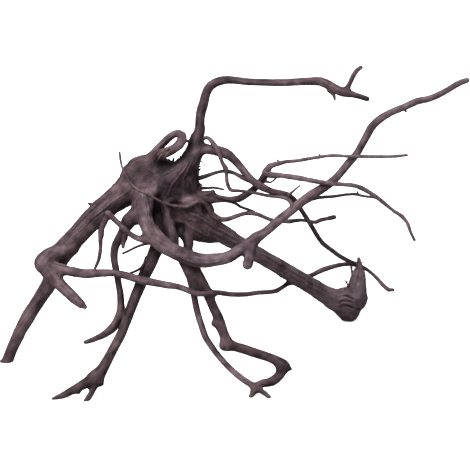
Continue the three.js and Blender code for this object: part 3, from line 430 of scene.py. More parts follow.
        (204, 198.6, 30, 5.4), (211.4, 199.8, 29, 3.8), (217, 200.6, 29, 2.2), (222, 200.6, 29.4, 1.8),
        (227, 201, 30, 1.5), (231.6, 202.1, 31, 1.35), (236.2, 203.9, 34, 1.25), (239.8, 206.4, 35.6, 1.3),
        (243.8, 208.1, 36.4, 1.25), (248, 209.6, 37, 1.2), (254, 212.4, 37, 1.4),
    ),
    "veil_twig": (
        (119.9, 152.9, 20, 0.8), (120.8, 160, 19.4, 0.9), (122.6, 168, 19, 0.85),
        (127.4, 177.4, 18.2, 0.75), (132, 184.6, 16.4, 0.75), (138, 189.6, 12.8, 0.8),
        (147, 193.8, 3.6, 0.85), (156, 199, 6.6, 0.9), (168, 204.6, 14.2, 1), (177, 206.2, 17, 1.3),
        (187, 206, 16, 1.6),
    ),
    "left_leg_spur": (
        (125.6, 231, 17, 3.4), (125, 238, 16.4, 2.5), (123.6, 243, 16, 1.9), (123.4, 247, 15, 1.5),
    ),
    "hanging_twig": (
        (108, 212, 30, 4.4), (104.8, 221.6, 28.6, 3), (101.6, 229.6, 27, 2.6), (101.4, 235, 26, 2.6),
        (100.8, 239.6, 25.4, 1.9), (100.9, 247, 25, 1.7), (100.1, 254, 25.4, 1.6), (98.9, 260, 26, 1.5),
        (97, 264.6, 27, 1.5), (95.2, 268.4, 28, 1.2),
    ),
    "rootlet_spur_1": ((278.2, 164, 13, 1.4), (277.8, 160.4, 13, 0.7)),
    "rootlet_spur_2": ((319.8, 157.2, 2, 1.2), (319.4, 154.8, 2, 0.6)),
    "rootlet_spur_3": ((357.6, 194.4, 17, 1.2), (357, 191.8, 17, 0.6)),
    "short_twig_1": (
        (154, 242, 0, 1.8), (143.2, 244.7, 1, 1.1), (136, 247.3, 2, 1.05), (128.4, 251.1, 1.4, 1.05),
        (123.6, 253.3, 0.6, 1),
    ),
    "short_twig_2": (
        (147.6, 258, 18, 2.2), (143.9, 264.6, 15, 1.3), (140.6, 268.3, 13, 1.1), (136, 271, 12, 1),
        (130.4, 273.2, 11, 0.9),
    ),
}

# Round lumps that swell the crown, the burl, the foot and the knotted leg: across, down, back and radius.
LUMPS: dict[str, tuple[tuple[float, ...], ...]] = {
    "crown_knobs": (
        (156, 176, 58, 8.6), (176, 178, 66, 8), (186, 196, 58, 7.6), (168, 202, 62, 7.4), (203, 206, 40, 7),
    ),
    "burl_lumps": ((349.2, 310, 195.5, 12.2), (356, 298.6, 197, 12.4), (343.4, 300.4, 191, 12.6)),
    "foot_knobs": ((101.4, 383, 8, 2.6), (79, 391.4, 8, 2)),
    "leg_knobs": ((214.4, 323, 10, 3.2), (223.6, 345.4, 10, 4)),
}

# How pale the wood is beside the plain colour and how much browner, and the limbs that are so.
TONE_GROUPS: dict[tuple[float, float], tuple[str, ...]] = {
    (0.95, -0.2): ("heavy_fibre_1", "burl_wave_1", "burl_wave_2"),
    (0.9, -0.2): ("burl_wave_3",),
    (0.85, -0.2): ("heavy_fibre_2",),
    (0.82, -0.2): ("heavy_limb",),
    (0.62, -0.2): ("burl_lumps",),
    (0.6, -0.1): ("lower_rootlet",),
    (0.52, 0): ("small_loop",),
    (0.5, -0.3): ("horn",),
    (0.5, -0.2): ("horn_fibre",),
    (0.45, -0.3): ("upper_rootlet",),
    (0.45, 0.25): ("thumb",),
    (0.42, 0): ("great_limb",),
    (0.32, 0.1): ("low_rootlet",),
    (0.32, 0.15): ("trailing_limb",),
    (0.3, 0): ("great_knob",),
    (0.3, 0.5): ("veil_twig",),
    (0.3, 0.8): ("frayed_strip_1", "frayed_strip_2", "frayed_strip_3", "frayed_strip_4"),
    (0.2, 0): ("slim_leg",),
    (0.2, 0.6): ("ridge_vein",),
    (0.2, 0.7): ("web_fibre_4",),
    (0.15, 0.1): (
        "great_fibre_1", "great_fibre_2", "great_fibre_3", "trunk_fibre_1", "trunk_fibre_2", "elbow_scar",
        "elbow_fold", "lace_twig",
    ),
    (0.15, 0.2): ("elbow",),
    (0.12, 0.2): ("trunk",),
    (0, 0.1): ("web_fibre_1", "web_fibre_3"),
    (0, 0.2): ("web_fibre_2",),
    (-0.05, -0.1): ("bowed_limb",),
    (-0.05, 0): ("crossing_limb",),
    (-0.05, 0.15): ("left_leg",),
    (-0.1, 0.1): ("crown_fibre_3",),
    (-0.1, 0.3): ("knotted_leg",),
    (-0.1, 0.5): ("ridge",),
    (-0.15, 0): ("tall_limb",),
    (-0.15, 0.4): ("lobe",),
    (-0.2, 0): ("crown_fibre_1",),
    (-0.2, 0.1): ("trunk_nub",),
    (-0.22, 0.3): ("knotted_shin",),
    (-0.3, 0): (
        "great_flow", "crown_fibre_2", "horn_strand", "horn_hair_1", "horn_hair_2", "horn_hair_3",
        "horn_hair_4",
    ),
    (-0.3, 0.2): ("strand", "leg_neck", "crown_knobs"),
    (-0.3, 0.3): ("foot_knobs",),
    (-0.3, 0.35): ("long_prong", "short_prong", "knotted_heel"),
    (-0.3, 0.4): ("crown_stub",),
    (-0.35, 0): ("hem", "side_rootlet"),
    (-0.35, 0.2): ("linking_rootlet",),
    (-0.38, 0.15): ("shoulder_flow",),
    (-0.4, -0.1): ("buttress_flow",),
    (-0.4, 0): ("back_flow", "hooked_twig"),
    (-0.4, 0.15): ("left_bump",),
    (-0.42, 0.3): ("forked_leg",),
    (-0.55, 0.1): ("web",),
    (-0.6, 0): ("leg_flow", "short_twig_2"),
    (-0.7, -0.2): ("short_stick", "short_twig_1"),
    # Painted shade: the dark strand in the burl's first groove.
    (-0.7, 0): ("burl_groove_shade_1",),
    (-0.75, -0.2): ("face_flow",),
    (-0.8, 0): (
        "loop_bridge", "splinter_1", "splinter_2", "splinter_3", "splinter_4", "edge_hair_1", "edge_hair_2",
        "edge_snag_1", "edge_snag_2",
    ),
    (-0.85, -0.2): ("right_flow",),
    # Painted shade: the dark strands in the burl's other two grooves.
    (-0.9, 0): ("burl_groove_shade_2",),
    (-1, 0): ("burl_groove_shade_3",),
}
TONES = {name: tone for tone, names in TONE_GROUPS.items() for name in names}
PLAIN_TONE = (0.0, 0.0)


# Deep hollows cut into the crown: across, down, back, then half their width, height and depth.
HOLLOWS: tuple[tuple[float, ...], ...] = (
    (157.5, 213, 10, 5, 18, 15),
    (184, 214, 14, 12, 7.6, 11),
    (176, 205.6, 17, 5.4, 2.6, 5),
    (204.8, 210.6, 21, 1.3, 3.6, 5),
    (209.8, 197, 20, 2.2, 3.2, 5),
    (180.6, 228, 12, 3.6, 6, 9),
)


def sight_to_root(rows: np.ndarray) -> np.ndarray:
    """Places rows of the sight plane in the frame of the root.

    Args:
        rows: across, down and back in millimetres, one row a point.

    Returns:
        x, y and z in metres, one row a point.
    """
    rise = FLOOR_LINE - rows[:, 1]
    back = rows[:, 2]
    placed = np.stack(
        [
            rows[:, 0] - MIDDLE_ACROSS,
            rise * math.sin(SIGHT_TILT) + back * math.cos(SIGHT_TILT) - MIDDLE_DEPTH,
            rise * math.cos(SIGHT_TILT) - back * math.sin(SIGHT_TILT),
        ],
        axis=1,
    )
    return placed * MILLIMETRE


@dataclass(frozen=True)
class Sections:
    """Evenly spaced sections of one limb.

    Attributes:
        centre: centres of the sections, in metres.
        radius: radii, in metres.
        travel: distance along the limb, in metres.
        side: first crosswise direction, carried along without twist.
        up: second crosswise direction.
        tangent: direction of the limb.
        tone: how pale and how brown the limb is beside the plain colour.
    """

    centre: np.ndarray
    radius: np.ndarray
    travel: np.ndarray
    side: np.ndarray
    up: np.ndarray
    tangent: np.ndarray
    tone: tuple[float, float] = (0.0, 0.0)


def curve_through(points: np.ndarray, radii: np.ndarray, steps: int = 14) -> tuple[np.ndarray, np.ndarray]:
    """Runs a smooth curve through the points, a cubic on each span.

    The slopes weigh the spans by the square root of their lengths.

    Args:
        points: the rows of a route, placed in the frame of the root.
        radii: radius at each row.
        steps: samples on each span.

    Returns:
        Samples of the curve, and the radius at each, eased between the rows.
    """
    ghost = np.vstack([2 * points[0] - points[1], points, 2 * points[-1] - points[-2]])
    before, start, end, after = ghost[:-3], ghost[1:-2], ghost[2:-1], ghost[3:]
    gap0 = np.sqrt(np.linalg.norm(start - before, axis=1))[:, None]
    gap1 = np.sqrt(np.linalg.norm(end - start, axis=1))[:, None]
    gap2 = np.sqrt(np.linalg.norm(after - end, axis=1))[:, None]
    slope_a = ((start - before) / gap0 - (end - before) / (gap0 + gap1) + (end - start) / gap1) * gap1
    slope_b = ((end - start) / gap1 - (after - start) / (gap1 + gap2) + (after - end) / gap2) * gap1
    t = np.arange(steps)[None, :, None] / steps
    a, b = start[:, None], end[:, None]
    sa, sb = slope_a[:, None], slope_b[:, None]
    curve = a + sa * t + (3 * (b - a) - 2 * sa - sb) * t**2 + (2 * (a - b) + sa + sb) * t**3
    ease = (t * t * (3 - 2 * t))[..., 0]
    radius = radii[:-1, None] + (radii[1:] - radii[:-1])[:, None] * ease
    curve = np.vstack([curve.reshape(-1, 3), points[-1:]])
    return curve, np.append(radius.ravel(), radii[-1])


def carried_frames(centre: np.ndarray) -> tuple[np.ndarray, np.ndarray, np.ndarray]:
    """Crosswise directions that turn with the path but never twist round it.

    Args:
        centre: points of the path.

    Returns:
        Side, up and tangent at each point.
    """
    tangent = np.gradient(centre, axis=0)
    tangent /= np.linalg.norm(tangent, axis=1)[:, None]
    side = np.empty_like(tangent)
    first = np.cross(tangent[0], (0.0, 0.0, 1.0) if abs(tangent[0][2]) < NEARLY_UPRIGHT else (1.0, 0.0, 0.0))
    side[0] = first / np.linalg.norm(first)
    for i in range(1, len(centre)):
        turned = side[i - 1] - tangent[i] * np.dot(side[i - 1], tangent[i])
        side[i] = turned / np.linalg.norm(turned)
    return side, np.cross(tangent, side), tangent


def sections_of(rows: tuple[tuple[float, ...], ...], spacing: float) -> Sections:
    """Sections of a route.

    Args:
        rows: across, down, back and radius, in millimetres.
        spacing: distance between sections, in metres.

    Returns:
        The sections.
    """
    table = np.array(rows, float)
    curve, radius = curve_through(sight_to_root(table), table[:, 3] * MILLIMETRE)
    run = np.append(0.0, np.cumsum(np.linalg.norm(np.diff(curve, axis=0), axis=1)))
    count = max(3, int(math.ceil(run[-1] / spacing)) + 1)
    travel = np.linspace(0.0, run[-1], count)
    centre = np.stack([np.interp(travel, run, curve[:, k]) for k in range(3)], axis=1)
    side, up, tangent = carried_frames(centre)
    return Sections(centre, np.interp(travel, run, radius), travel, side, up, tangent)


class Noise:
    """Smooth random values in space, between 0 and 1, from a lattice of random numbers."""

    ASIDE = 7.3

    def __init__(self, seed: int, size: int = 32) -> None:
        """Draws the lattice.

        Args:
            seed: seed of the draw.
            size: cells along each edge before the lattice repeats.
        """
        self.size = size
        self.lattice = np.random.default_rng(seed).random((size, size, size))

    def at(self, points: np.ndarray) -> np.ndarray:
        """Values at the points, eased between the eight lattice corners round each.

        Args:
            points: positions in lattice cells.

        Returns:
            One value a point.
        """
        cell = np.floor(points).astype(int)
        part = points - cell
        part = part * part * (3 - 2 * part)
        low, high = cell % self.size, (cell + 1) % self.size
        value = np.zeros(len(points))
        for corner in range(8):
            take = [(corner >> axis) & 1 for axis in range(3)]
            index = [np.where(take[axis], high[:, axis], low[:, axis]) for axis in range(3)]
            share = np.prod([part[:, axis] if take[axis] else 1 - part[:, axis] for axis in range(3)], axis=0)
            value += share * self.lattice[index[0], index[1], index[2]]
        return value

    def layered(self, points: np.ndarray, octaves: int = 3) -> np.ndarray:
        """Sum of the noise at several scales, each half as wide and half as strong as the one before.

        Args:
            points: positions in lattice cells of the widest scale.
            octaves: number of scales.

        Returns:
            One value a point, between 0 and 1.
        """
        total, weight = np.zeros(len(points)), 0.0
        for octave in range(octaves):
            total += self.at(points * 2**octave + self.ASIDE * octave) * 0.5**octave
            weight += 0.5**octave
        return total / weight


@dataclass(frozen=True)
class Reading:
    """What the growth field says at a set of points.

    Attributes:
        depth: signed distance to the grown surface, positive outside.
        slope: direction in which the distance grows.
        limb: number of the nearest limb.
        along: distance along that limb.
        around: angle round that limb.
        radius: radius of that limb there.
        share: how much of the surface there is that limb's own, 1 where it is alone.
        tone: how pale and how brown the wood is, blended between the limbs.
    """

    depth: np.ndarray
    slope: np.ndarray
    limb: np.ndarray
    along: np.ndarray
    around: np.ndarray
    radius: np.ndarray
    share: np.ndarray
    tone: np.ndarray


class GrowthField:
    """Distance to all limbs grown together.

    The distance to one limb is the least distance to its tapered links. The limbs are joined by a soft least
    value: minus the reach times the logarithm of the sum of the exponentials of minus distance over reach.
    Points are read a cell of space at a time, from the links that can matter there.
    """

    CELL = 0.018
    MARGIN = 9.0

    def __init__(self, limbs: list[Sections], reach: float) -> None:
        """Takes the limbs apart into links.

        Args:
            limbs: sections of each limb. A limb of one section is a ball.
            reach: softness of the joints between limbs, in metres.
        """
        self.reach = reach
        starts, spans, r0, r1, t0, sides, ups, owner = [], [], [], [], [], [], [], []
        for number, limb in enumerate(limbs):
            count = max(1, len(limb.centre) - 1)
            starts.append(limb.centre[:count])
            spans.append(np.diff(limb.centre, axis=0) if len(limb.centre) > 1 else np.full((1, 3), 1e-9))
            r0.append(limb.radius[:count])
            r1.append(limb.radius[1:] if len(limb.centre) > 1 else limb.radius)
            t0.append(limb.travel[:count])
            sides.append(limb.side[:count])
            ups.append(limb.up[:count])
            owner.append(np.full(count, number))
        self.start, self.span = np.vstack(starts), np.vstack(spans)
        self.r0, self.r1, self.t0 = np.concatenate(r0), np.concatenate(r1), np.concatenate(t0)
        self.side, self.up, self.owner = np.vstack(sides), np.vstack(ups), np.concatenate(owner)
        self.length2 = np.maximum((self.span**2).sum(1), 1e-18)
        self.tone = np.array([limb.tone for limb in limbs])[self.owner]
        self.middle = self.start + self.span / 2
        self.half = np.sqrt(self.length2) / 2

    def read(self, points: np.ndarray) -> Reading:
        """Reads the field at the points.

        Args:
            points: positions, in metres.

        Returns:
            The readings.
        """
        cells, inverse = np.unique(np.floor(points / self.CELL).astype(int), axis=0, return_inverse=True)
        order = np.argsort(inverse.ravel(), kind="stable")
        edges = np.searchsorted(inverse.ravel()[order], np.arange(len(cells) + 1))
        parts = []
        for number, cell in enumerate(cells):
            chosen = order[edges[number] : edges[number + 1]]
            parts.append(self._read(points[chosen], self._links_near((cell + 0.5) * self.CELL)))
        back = np.argsort(order)
        names = Reading.__dataclass_fields__
        return Reading(*(np.concatenate([getattr(part, name) for part in parts])[back] for name in names))

    def _links_near(self, centre: np.ndarray) -> np.ndarray:
        apart = np.linalg.norm(self.middle - centre, axis=1)
        corner = self.CELL * math.sqrt(3) / 2
        farthest = (apart + corner - np.minimum(self.r0, self.r1)).min()
        nearest = apart - self.half - np.maximum(self.r0, self.r1) - corner
        return np.flatnonzero(nearest <= farthest + self.MARGIN * self.reach)

    def _read(self, p: np.ndarray, links: np.ndarray) -> Reading:
        start, span, length2 = self.start[links], self.span[links], self.length2[links]
        towards = p @ span.T - (start * span).sum(1)
        share = np.clip(towards / length2, 0.0, 1.0)
        apart = (p**2).sum(1)[:, None] + (start**2).sum(1) - 2 * (p @ start.T)
        apart = np.maximum(apart - 2 * share * towards + share**2 * length2, 1e-16)
        distance = np.sqrt(apart) - (self.r0[links] + share * (self.r1[links] - self.r0[links]))
        rows = np.arange(len(p))
        breaks = np.flatnonzero(np.diff(self.owner[links])) + 1
        groups = np.split(np.arange(len(links)), breaks)
        best = np.stack([g[0] + distance[:, g[0] : g[-1] + 1].argmin(1) for g in groups], axis=1)
        near = distance[rows[:, None], best]
        parts = share[rows[:, None], best]
        out = p[:, None, :] - (start[best] + parts[..., None] * span[best])
        out /= np.maximum(np.linalg.norm(out, axis=2), 1e-9)[..., None]
        least = near.min(1, keepdims=True)
        weight = np.exp(-(near - least) / self.reach)
        total = weight.sum(1, keepdims=True)
        depth = (least - self.reach * np.log(total))[:, 0]
        weight /= total
        slope = (weight[..., None] * out).sum(1)
        own = weight.argmax(1)
        local, part, arm = best[rows, own], parts[rows, own], out[rows, own]
        link = links[local]
        around = np.arctan2((arm * self.up[link]).sum(1), (arm * self.side[link]).sum(1))
        along = self.t0[link] + part * np.sqrt(self.length2[link])
        radius = self.r0[link] + part * (self.r1[link] - self.r0[link])
        tone = (weight[..., None] * self.tone[links[best]]).sum(1)
        return Reading(depth, slope, self.owner[link], along, around, radius, weight[rows, own], tone)


class HollowedField(GrowthField):
    """The growth field with rounded hollows cut into it by a soft greatest value."""

    def __init__(self, limbs: list[Sections], reach: float, hollows: tuple[tuple[float, ...], ...]) -> None:
        """Takes the limbs and the hollows.

        Args:
            limbs: sections of each limb.
            reach: softness of the joints, in metres.
            hollows: centre and half sizes of each hollow on the sight plane, in millimetres.
        """
        super().__init__(limbs, reach)
        table = np.array(hollows, float)
        self.hollow_centre = sight_to_root(table)
        self.hollow_half = table[:, 3:] * MILLIMETRE
        tilt = math.cos(SIGHT_TILT), math.sin(SIGHT_TILT)
        self.hollow_axes = np.array([[1.0, 0.0, 0.0], [0.0, -tilt[1], -tilt[0]], [0.0, tilt[0], -tilt[1]]])

    def read(self, points: np.ndarray) -> Reading:
        """Reads the field at the points, with the hollows cut out.

        Args:
            points: positions, in metres.

        Returns:
            The readings.
        """
        plain = super().read(points)
        depth, slope = plain.depth.copy(), plain.slope.copy()
        for centre, half in zip(self.hollow_centre, self.hollow_half):
            local = (points - centre) @ self.hollow_axes.T / half
            size = np.maximum(np.linalg.norm(local, axis=1), 1e-6)
            steep = local / half
            steepness = np.maximum(np.linalg.norm(steep, axis=1), 1e-6)
            inside = size * (size - 1) / steepness
            away = -(steep / steepness[:, None]) @ self.hollow_axes
            ease = 1 / (1 + np.exp(np.clip((-inside - depth) / self.reach, -40, 40)))
            depth = np.maximum(depth, -inside) + self.reach * np.log1p(
                np.exp(-np.abs(depth + inside) / self.reach)
            )
            slope = ease[:, None] * slope + (1 - ease)[:, None] * away
        return replace(plain, depth=depth, slope=slope)


def ball(row: tuple[float, ...]) -> Sections:
    """A round lump as a limb of one section.

    Args:
        row: across, down, back and radius, in millimetres.

    Returns:
        The single section.
    """
    centre = sight_to_root(np.array([row], float))
    return Sections(
        centre,
        np.array([row[3]]) * MILLIMETRE,
        np.zeros(1),
        np.array([[1.0, 0.0, 0.0]]),
        np.array([[0.0, 0.0, 1.0]]),
        np.array([[0.0, 1.0, 0.0]]),
    )


def linked(name: str, data: bpy.types.ID) -> bpy.types.Object:
    """Puts a mesh, camera or lamp in the scene, at the origin.

    Args:
        name: name of the object.
        data: what the object shows.

    Returns:
        The object.
    """
    obj = bpy.data.objects.new(name, data)
    bpy.context.scene.collection.objects.link(obj)
    return obj


def mesh_object(name: str, vertices: np.ndarray, faces: list) -> bpy.types.Object:
    """Makes a mesh object at the origin.

    Args:
        name: name of the object.
        vertices: positions, in metres.
        faces: lists of vertex numbers.

    Returns:
        The object, in the scene.
    """
    mesh = bpy.data.meshes.new(name)
    mesh.from_pydata(vertices.tolist(), [], faces)
    mesh.update()
    return linked(name, mesh)


def mark(mesh: bpy.types.Mesh, grain: np.ndarray, hollow_shade: np.ndarray, tone: np.ndarray) -> None:
    """Shades the mesh smoothly and gives its vertices the values that the bark reads.

    Args:
        mesh: the mesh.
        grain: place in the grain of the wood, one row a vertex.
        hollow_shade: how deep in a hollow each vertex lies, 0 to 1; the bark paints shade there by this much.
        tone: how pale and how brown the wood is, one row a vertex.
    """
    mesh.polygons.foreach_set("use_smooth", np.ones(len(mesh.polygons), bool))
    for name, rows in (("grain", grain), ("tone", np.column_stack([tone, np.zeros(len(tone))]))):
        layer = mesh.attributes.new(name, "FLOAT_VECTOR", "POINT")
        layer.data.foreach_set("vector", rows.astype(np.float32).ravel())
    layer = mesh.attributes.new("hollow_shade", "FLOAT", "POINT")
    layer.data.foreach_set("value", hollow_shade.astype(np.float32))
    mesh.update()


def swept_mesh(limb: Sections, sides: int) -> tuple[np.ndarray, np.ndarray, np.ndarray]:
    """A closed round surface along a limb: angle one way, travel the other, with a domed cap at each end.

    A ring of the cap stands out by its share of the radius, and shrinks to the root of one minus that
    share squared.

    Args:
        limb: sections of the limb.
        sides: vertices in each ring.

    Returns:
        Vertices, four-cornered faces, and three-cornered faces of the caps.
    """
    end = len(limb.centre) - 1
    reach = np.concatenate([-DOME[::-1], np.zeros(end - 1), DOME])
    index = np.concatenate([np.zeros(len(DOME), int), np.arange(1, end), np.full(len(DOME), end)])
    shrink = np.sqrt(1 - reach**2)
    angle = np.arange(sides) * (2 * math.pi / sides)
    centre = limb.centre[index] + limb.tangent[index] * (reach * limb.radius[index])[:, None]
    round_way = (
        np.cos(angle)[None, :, None] * limb.side[index][:, None, :]
        + np.sin(angle)[None, :, None] * limb.up[index][:, None, :]
    )
    rings = centre[:, None, :] + round_way * (limb.radius[index] * shrink)[:, None, None]
    poles = np.stack(
        [
            limb.centre[0] - limb.tangent[0] * limb.radius[0],
            limb.centre[-1] + limb.tangent[-1] * limb.radius[-1],
        ]
    )
    vertices = np.vstack([rings.reshape(-1, 3), poles])
    number = np.arange(len(rings) * sides).reshape(len(rings), sides)
    turned = np.roll(number, -1, axis=1)
    quads = np.stack([number[:-1], turned[:-1], turned[1:], number[1:]], axis=2).reshape(-1, 4)
    last = len(vertices) - 1
    start_cap = np.stack([turned[0], number[0], np.full(sides, last - 1)], axis=1)
    end_cap = np.stack([number[-1], turned[-1], np.full(sides, last)], axis=1)
    return vertices, quads, np.vstack([start_cap, end_cap])


@dataclass(frozen=True)
class Relief:
    """Widths and heights of the skin's relief, in metres, on a limb of the usual radius."""

    usual_radius: float = 6 * MILLIMETRE
    knot_width: float = 11 * MILLIMETRE
    knot_height: float = 1.1 * MILLIMETRE
    fibre_width: float = 2.6 * MILLIMETRE
    fibre_height: float = 0.7 * MILLIMETRE
    wrinkle_width: float = 5.2 * MILLIMETRE
    wrinkle_height: float = 0.7 * MILLIMETRE
    wrinkle_steepness: float = 2.2
    hollow_sink: float = 0.6 * MILLIMETRE
    slimmest: float = 0.3
    stoutest: float = 1.6
    grain_stretch: float = 0.16
    grain_shift: float = 0.053
    least_girth: float = 2 * MILLIMETRE


class Fineness(Enum):
    """Width of the net's cells beside the finished width."""

    FINISHED = 1.0
    DRAFT = 1.8


@dataclass
class Skin:
    """The limbs, crown, burl and feet, grown together into one skin with its relief."""

    reach: float = 1.6 * MILLIMETRE
    voxel: float = 1.35 * MILLIMETRE
    fineness: Fineness = Fineness.FINISHED
    spacing: float = 5 * MILLIMETRE
    sides: int = 20
    longest_step: float = 4 * MILLIMETRE
    near_look: float = 4 * MILLIMETRE
    far_look: float = 11 * MILLIMETRE
    relief: Relief = Relief()
    noise: Noise = field(default_factory=lambda: Noise(SEED))

    def limbs(self) -> list[Sections]:
        """All limbs and lumps of the skin.

        Returns:
            Their sections.
        """
        swept = [
            replace(sections_of(rows, self.spacing), tone=TONES.get(name, PLAIN_TONE))
            for name, rows in SKIN_ROUTES.items()
        ]
        balls = [
            replace(ball(row), tone=TONES.get(name, PLAIN_TONE))
            for name, rows in LUMPS.items()
            for row in rows
        ]
        return swept + balls

    def block(self) -> bpy.types.Object:
        """The limbs as overlapping swept surfaces.

        Returns:
            The object that holds them all.
        """
        vertices, faces, count = [], [], 0
        for limb in self.limbs():
            pts, quads, caps = swept_mesh(self._drawn_out(limb), self.sides)
            faces += (quads + count).tolist() + (caps + count).tolist()
            vertices.append(pts)
            count += len(pts)
        return mesh_object("skin_block", np.vstack(vertices), faces)

    def _drawn_out(self, limb: Sections) -> Sections:
        if len(limb.centre) > 1:
            return limb
        reach = limb.tangent * limb.radius[:, None] * 0.02
        centre = np.vstack([limb.centre - reach, limb.centre, limb.centre + reach])
        return Sections(
            centre,
            np.repeat(limb.radius, 3),
            np.zeros(3),
            np.repeat(limb.side, 3, axis=0),
            np.repeat(limb.up, 3, axis=0),
            np.repeat(limb.tangent, 3, axis=0),
        )

    def build(self) -> bpy.types.Object:
        """Makes the finished skin.

        Returns:
            The object, with its grain, hollow_shade and tone attributes; hollow_shade carries the painted
            shade of the hollows.
        """
        grown = HollowedField(self.limbs(), self.reach, HOLLOWS)
        mesh = self._evened(self.block())
        mesh.vertices.foreach_set("co", self._settled(self._points(mesh), grown).ravel())
        mesh = self._evened(linked("skin_draft", mesh))
        points = self._settled(self._points(mesh), grown)
        reading = grown.read(points)
        normal = reading.slope / np.linalg.norm(reading.slope, axis=1)[:, None]
        openness = self._openness(grown, points, normal)
        points += normal * self._relief(points, reading, openness)[:, None]
        points[:, 2] = np.maximum(points[:, 2], 0.0)
        mesh.vertices.foreach_set("co", points.ravel())
        # One less the openness darkens the bark as painted shade in hollows, crevices and joints between the
        # limbs.
        mark(mesh, self._grain(reading), 1 - openness, reading.tone)
        LOG.info("skin: %d vertices, %d faces", len(mesh.vertices), len(mesh.polygons))
        return linked("spiderwood_skin", mesh)

    def _evened(self, obj: bpy.types.Object) -> bpy.types.Mesh:
        remesh = obj.modifiers.new("even", "REMESH")
        remesh.mode = "VOXEL"
        remesh.voxel_size = self.voxel * self.fineness.value
        evaluated = obj.evaluated_get(bpy.context.evaluated_depsgraph_get())
        mesh = bpy.data.meshes.new_from_object(evaluated)
        bpy.data.objects.remove(obj)
        return mesh

    def _points(self, mesh: bpy.types.Mesh) -> np.ndarray:
        points = np.empty(len(mesh.vertices) * 3)
        mesh.vertices.foreach_get("co", points)
        return points.reshape(-1, 3)

    def _settled(self, points: np.ndarray, grown: GrowthField, passes: int = 3) -> np.ndarray:
        for _ in range(passes):
            reading = grown.read(points)
            size = np.maximum((reading.slope**2).sum(1), 0.25)
            step = np.clip(reading.depth / size, -self.longest_step, self.longest_step)
            points = points - reading.slope * step[:, None]
        return points

    def _openness(self, field_: GrowthField, points: np.ndarray, normal: np.ndarray) -> np.ndarray:
        near = field_.read(points + normal * self.near_look).depth / self.near_look
        far = field_.read(points + normal * self.far_look).depth / self.far_look
        return np.clip(0.5 * near + 0.5 * far, 0.0, 1.0)

    def _grain(self, reading: Reading) -> np.ndarray:
        girth = np.maximum(reading.radius, self.relief.least_girth)
        return np.stack(
            [
                np.cos(reading.around) * girth,
                np.sin(reading.around) * girth,
                reading.along * self.relief.grain_stretch + reading.limb * self.relief.grain_shift,
            ],
            axis=1,
        )

    def _relief(self, points: np.ndarray, reading: Reading, openness: np.ndarray) -> np.ndarray:
        size = self.relief
        grain = self._grain(reading)
        bulk = np.clip(reading.radius / size.usual_radius, size.slimmest, size.stoutest)
        alone = np.clip(reading.share * 2 - 1, 0.0, 1.0)
        stout = np.clip(reading.radius / size.usual_radius - 1, 0.0, 1.0)
        knots = self.noise.layered(points / size.knot_width, 3) - 0.5
        fibres = self.noise.layered(grain / size.fibre_width + 5.0, 2) - 0.5
        ridges = np.abs(2 * self.noise.layered(grain / size.wrinkle_width + 11.0, 2) - 1)
        height = size.knot_height * bulk * knots + size.fibre_height * bulk * alone * fibres
        height += size.wrinkle_height * stout * (0.5 - ridges * size.wrinkle_steepness)
        return height - size.hollow_sink * (1 - openness)


@dataclass
class Rootlets:
    """The fine rootlets and spurs, each a thin round surface along its own route."""

    sides: int = 8
    spacing: float = 1.6 * MILLIMETRE
    fullness: float = 0.12 * MILLIMETRE
    swell: float = 0.35
    swell_width: float = 6 * MILLIMETRE
    grain_stretch: tuple[float, float, float] = (1.0, 0.3, 1.0)
    noise: Noise = field(default_factory=lambda: Noise(SEED + 1))

    def build(self) -> bpy.types.Object:
        """Makes all rootlets as one object.

        Returns:
            The object.
        """
        vertices, faces, grains, tones, count = [], [], [], [], 0
        for name, rows in ROOTLET_ROUTES.items():
            limb = sections_of(rows, self.spacing)
            swell = 1 + self.swell * self.noise.layered(limb.centre / self.swell_width, 2)
            limb = replace(limb, radius=limb.radius * swell + self.fullness)
            pts, quads, caps = swept_mesh(limb, self.sides)
            faces += (quads + count).tolist() + (caps + count).tolist()
            vertices.append(pts)
            grains.append(pts * self.grain_stretch)
            tones.append(np.tile(TONES.get(name, PLAIN_TONE), (len(pts), 1)))
            count += len(pts)
        points = np.vstack(vertices)
        points[:, 2] = np.maximum(points[:, 2], 0.0)
        obj = mesh_object("spiderwood_rootlets", points, faces)
        mark(obj.data, np.vstack(grains), np.zeros(len(points)), np.vstack(tones))
        return obj


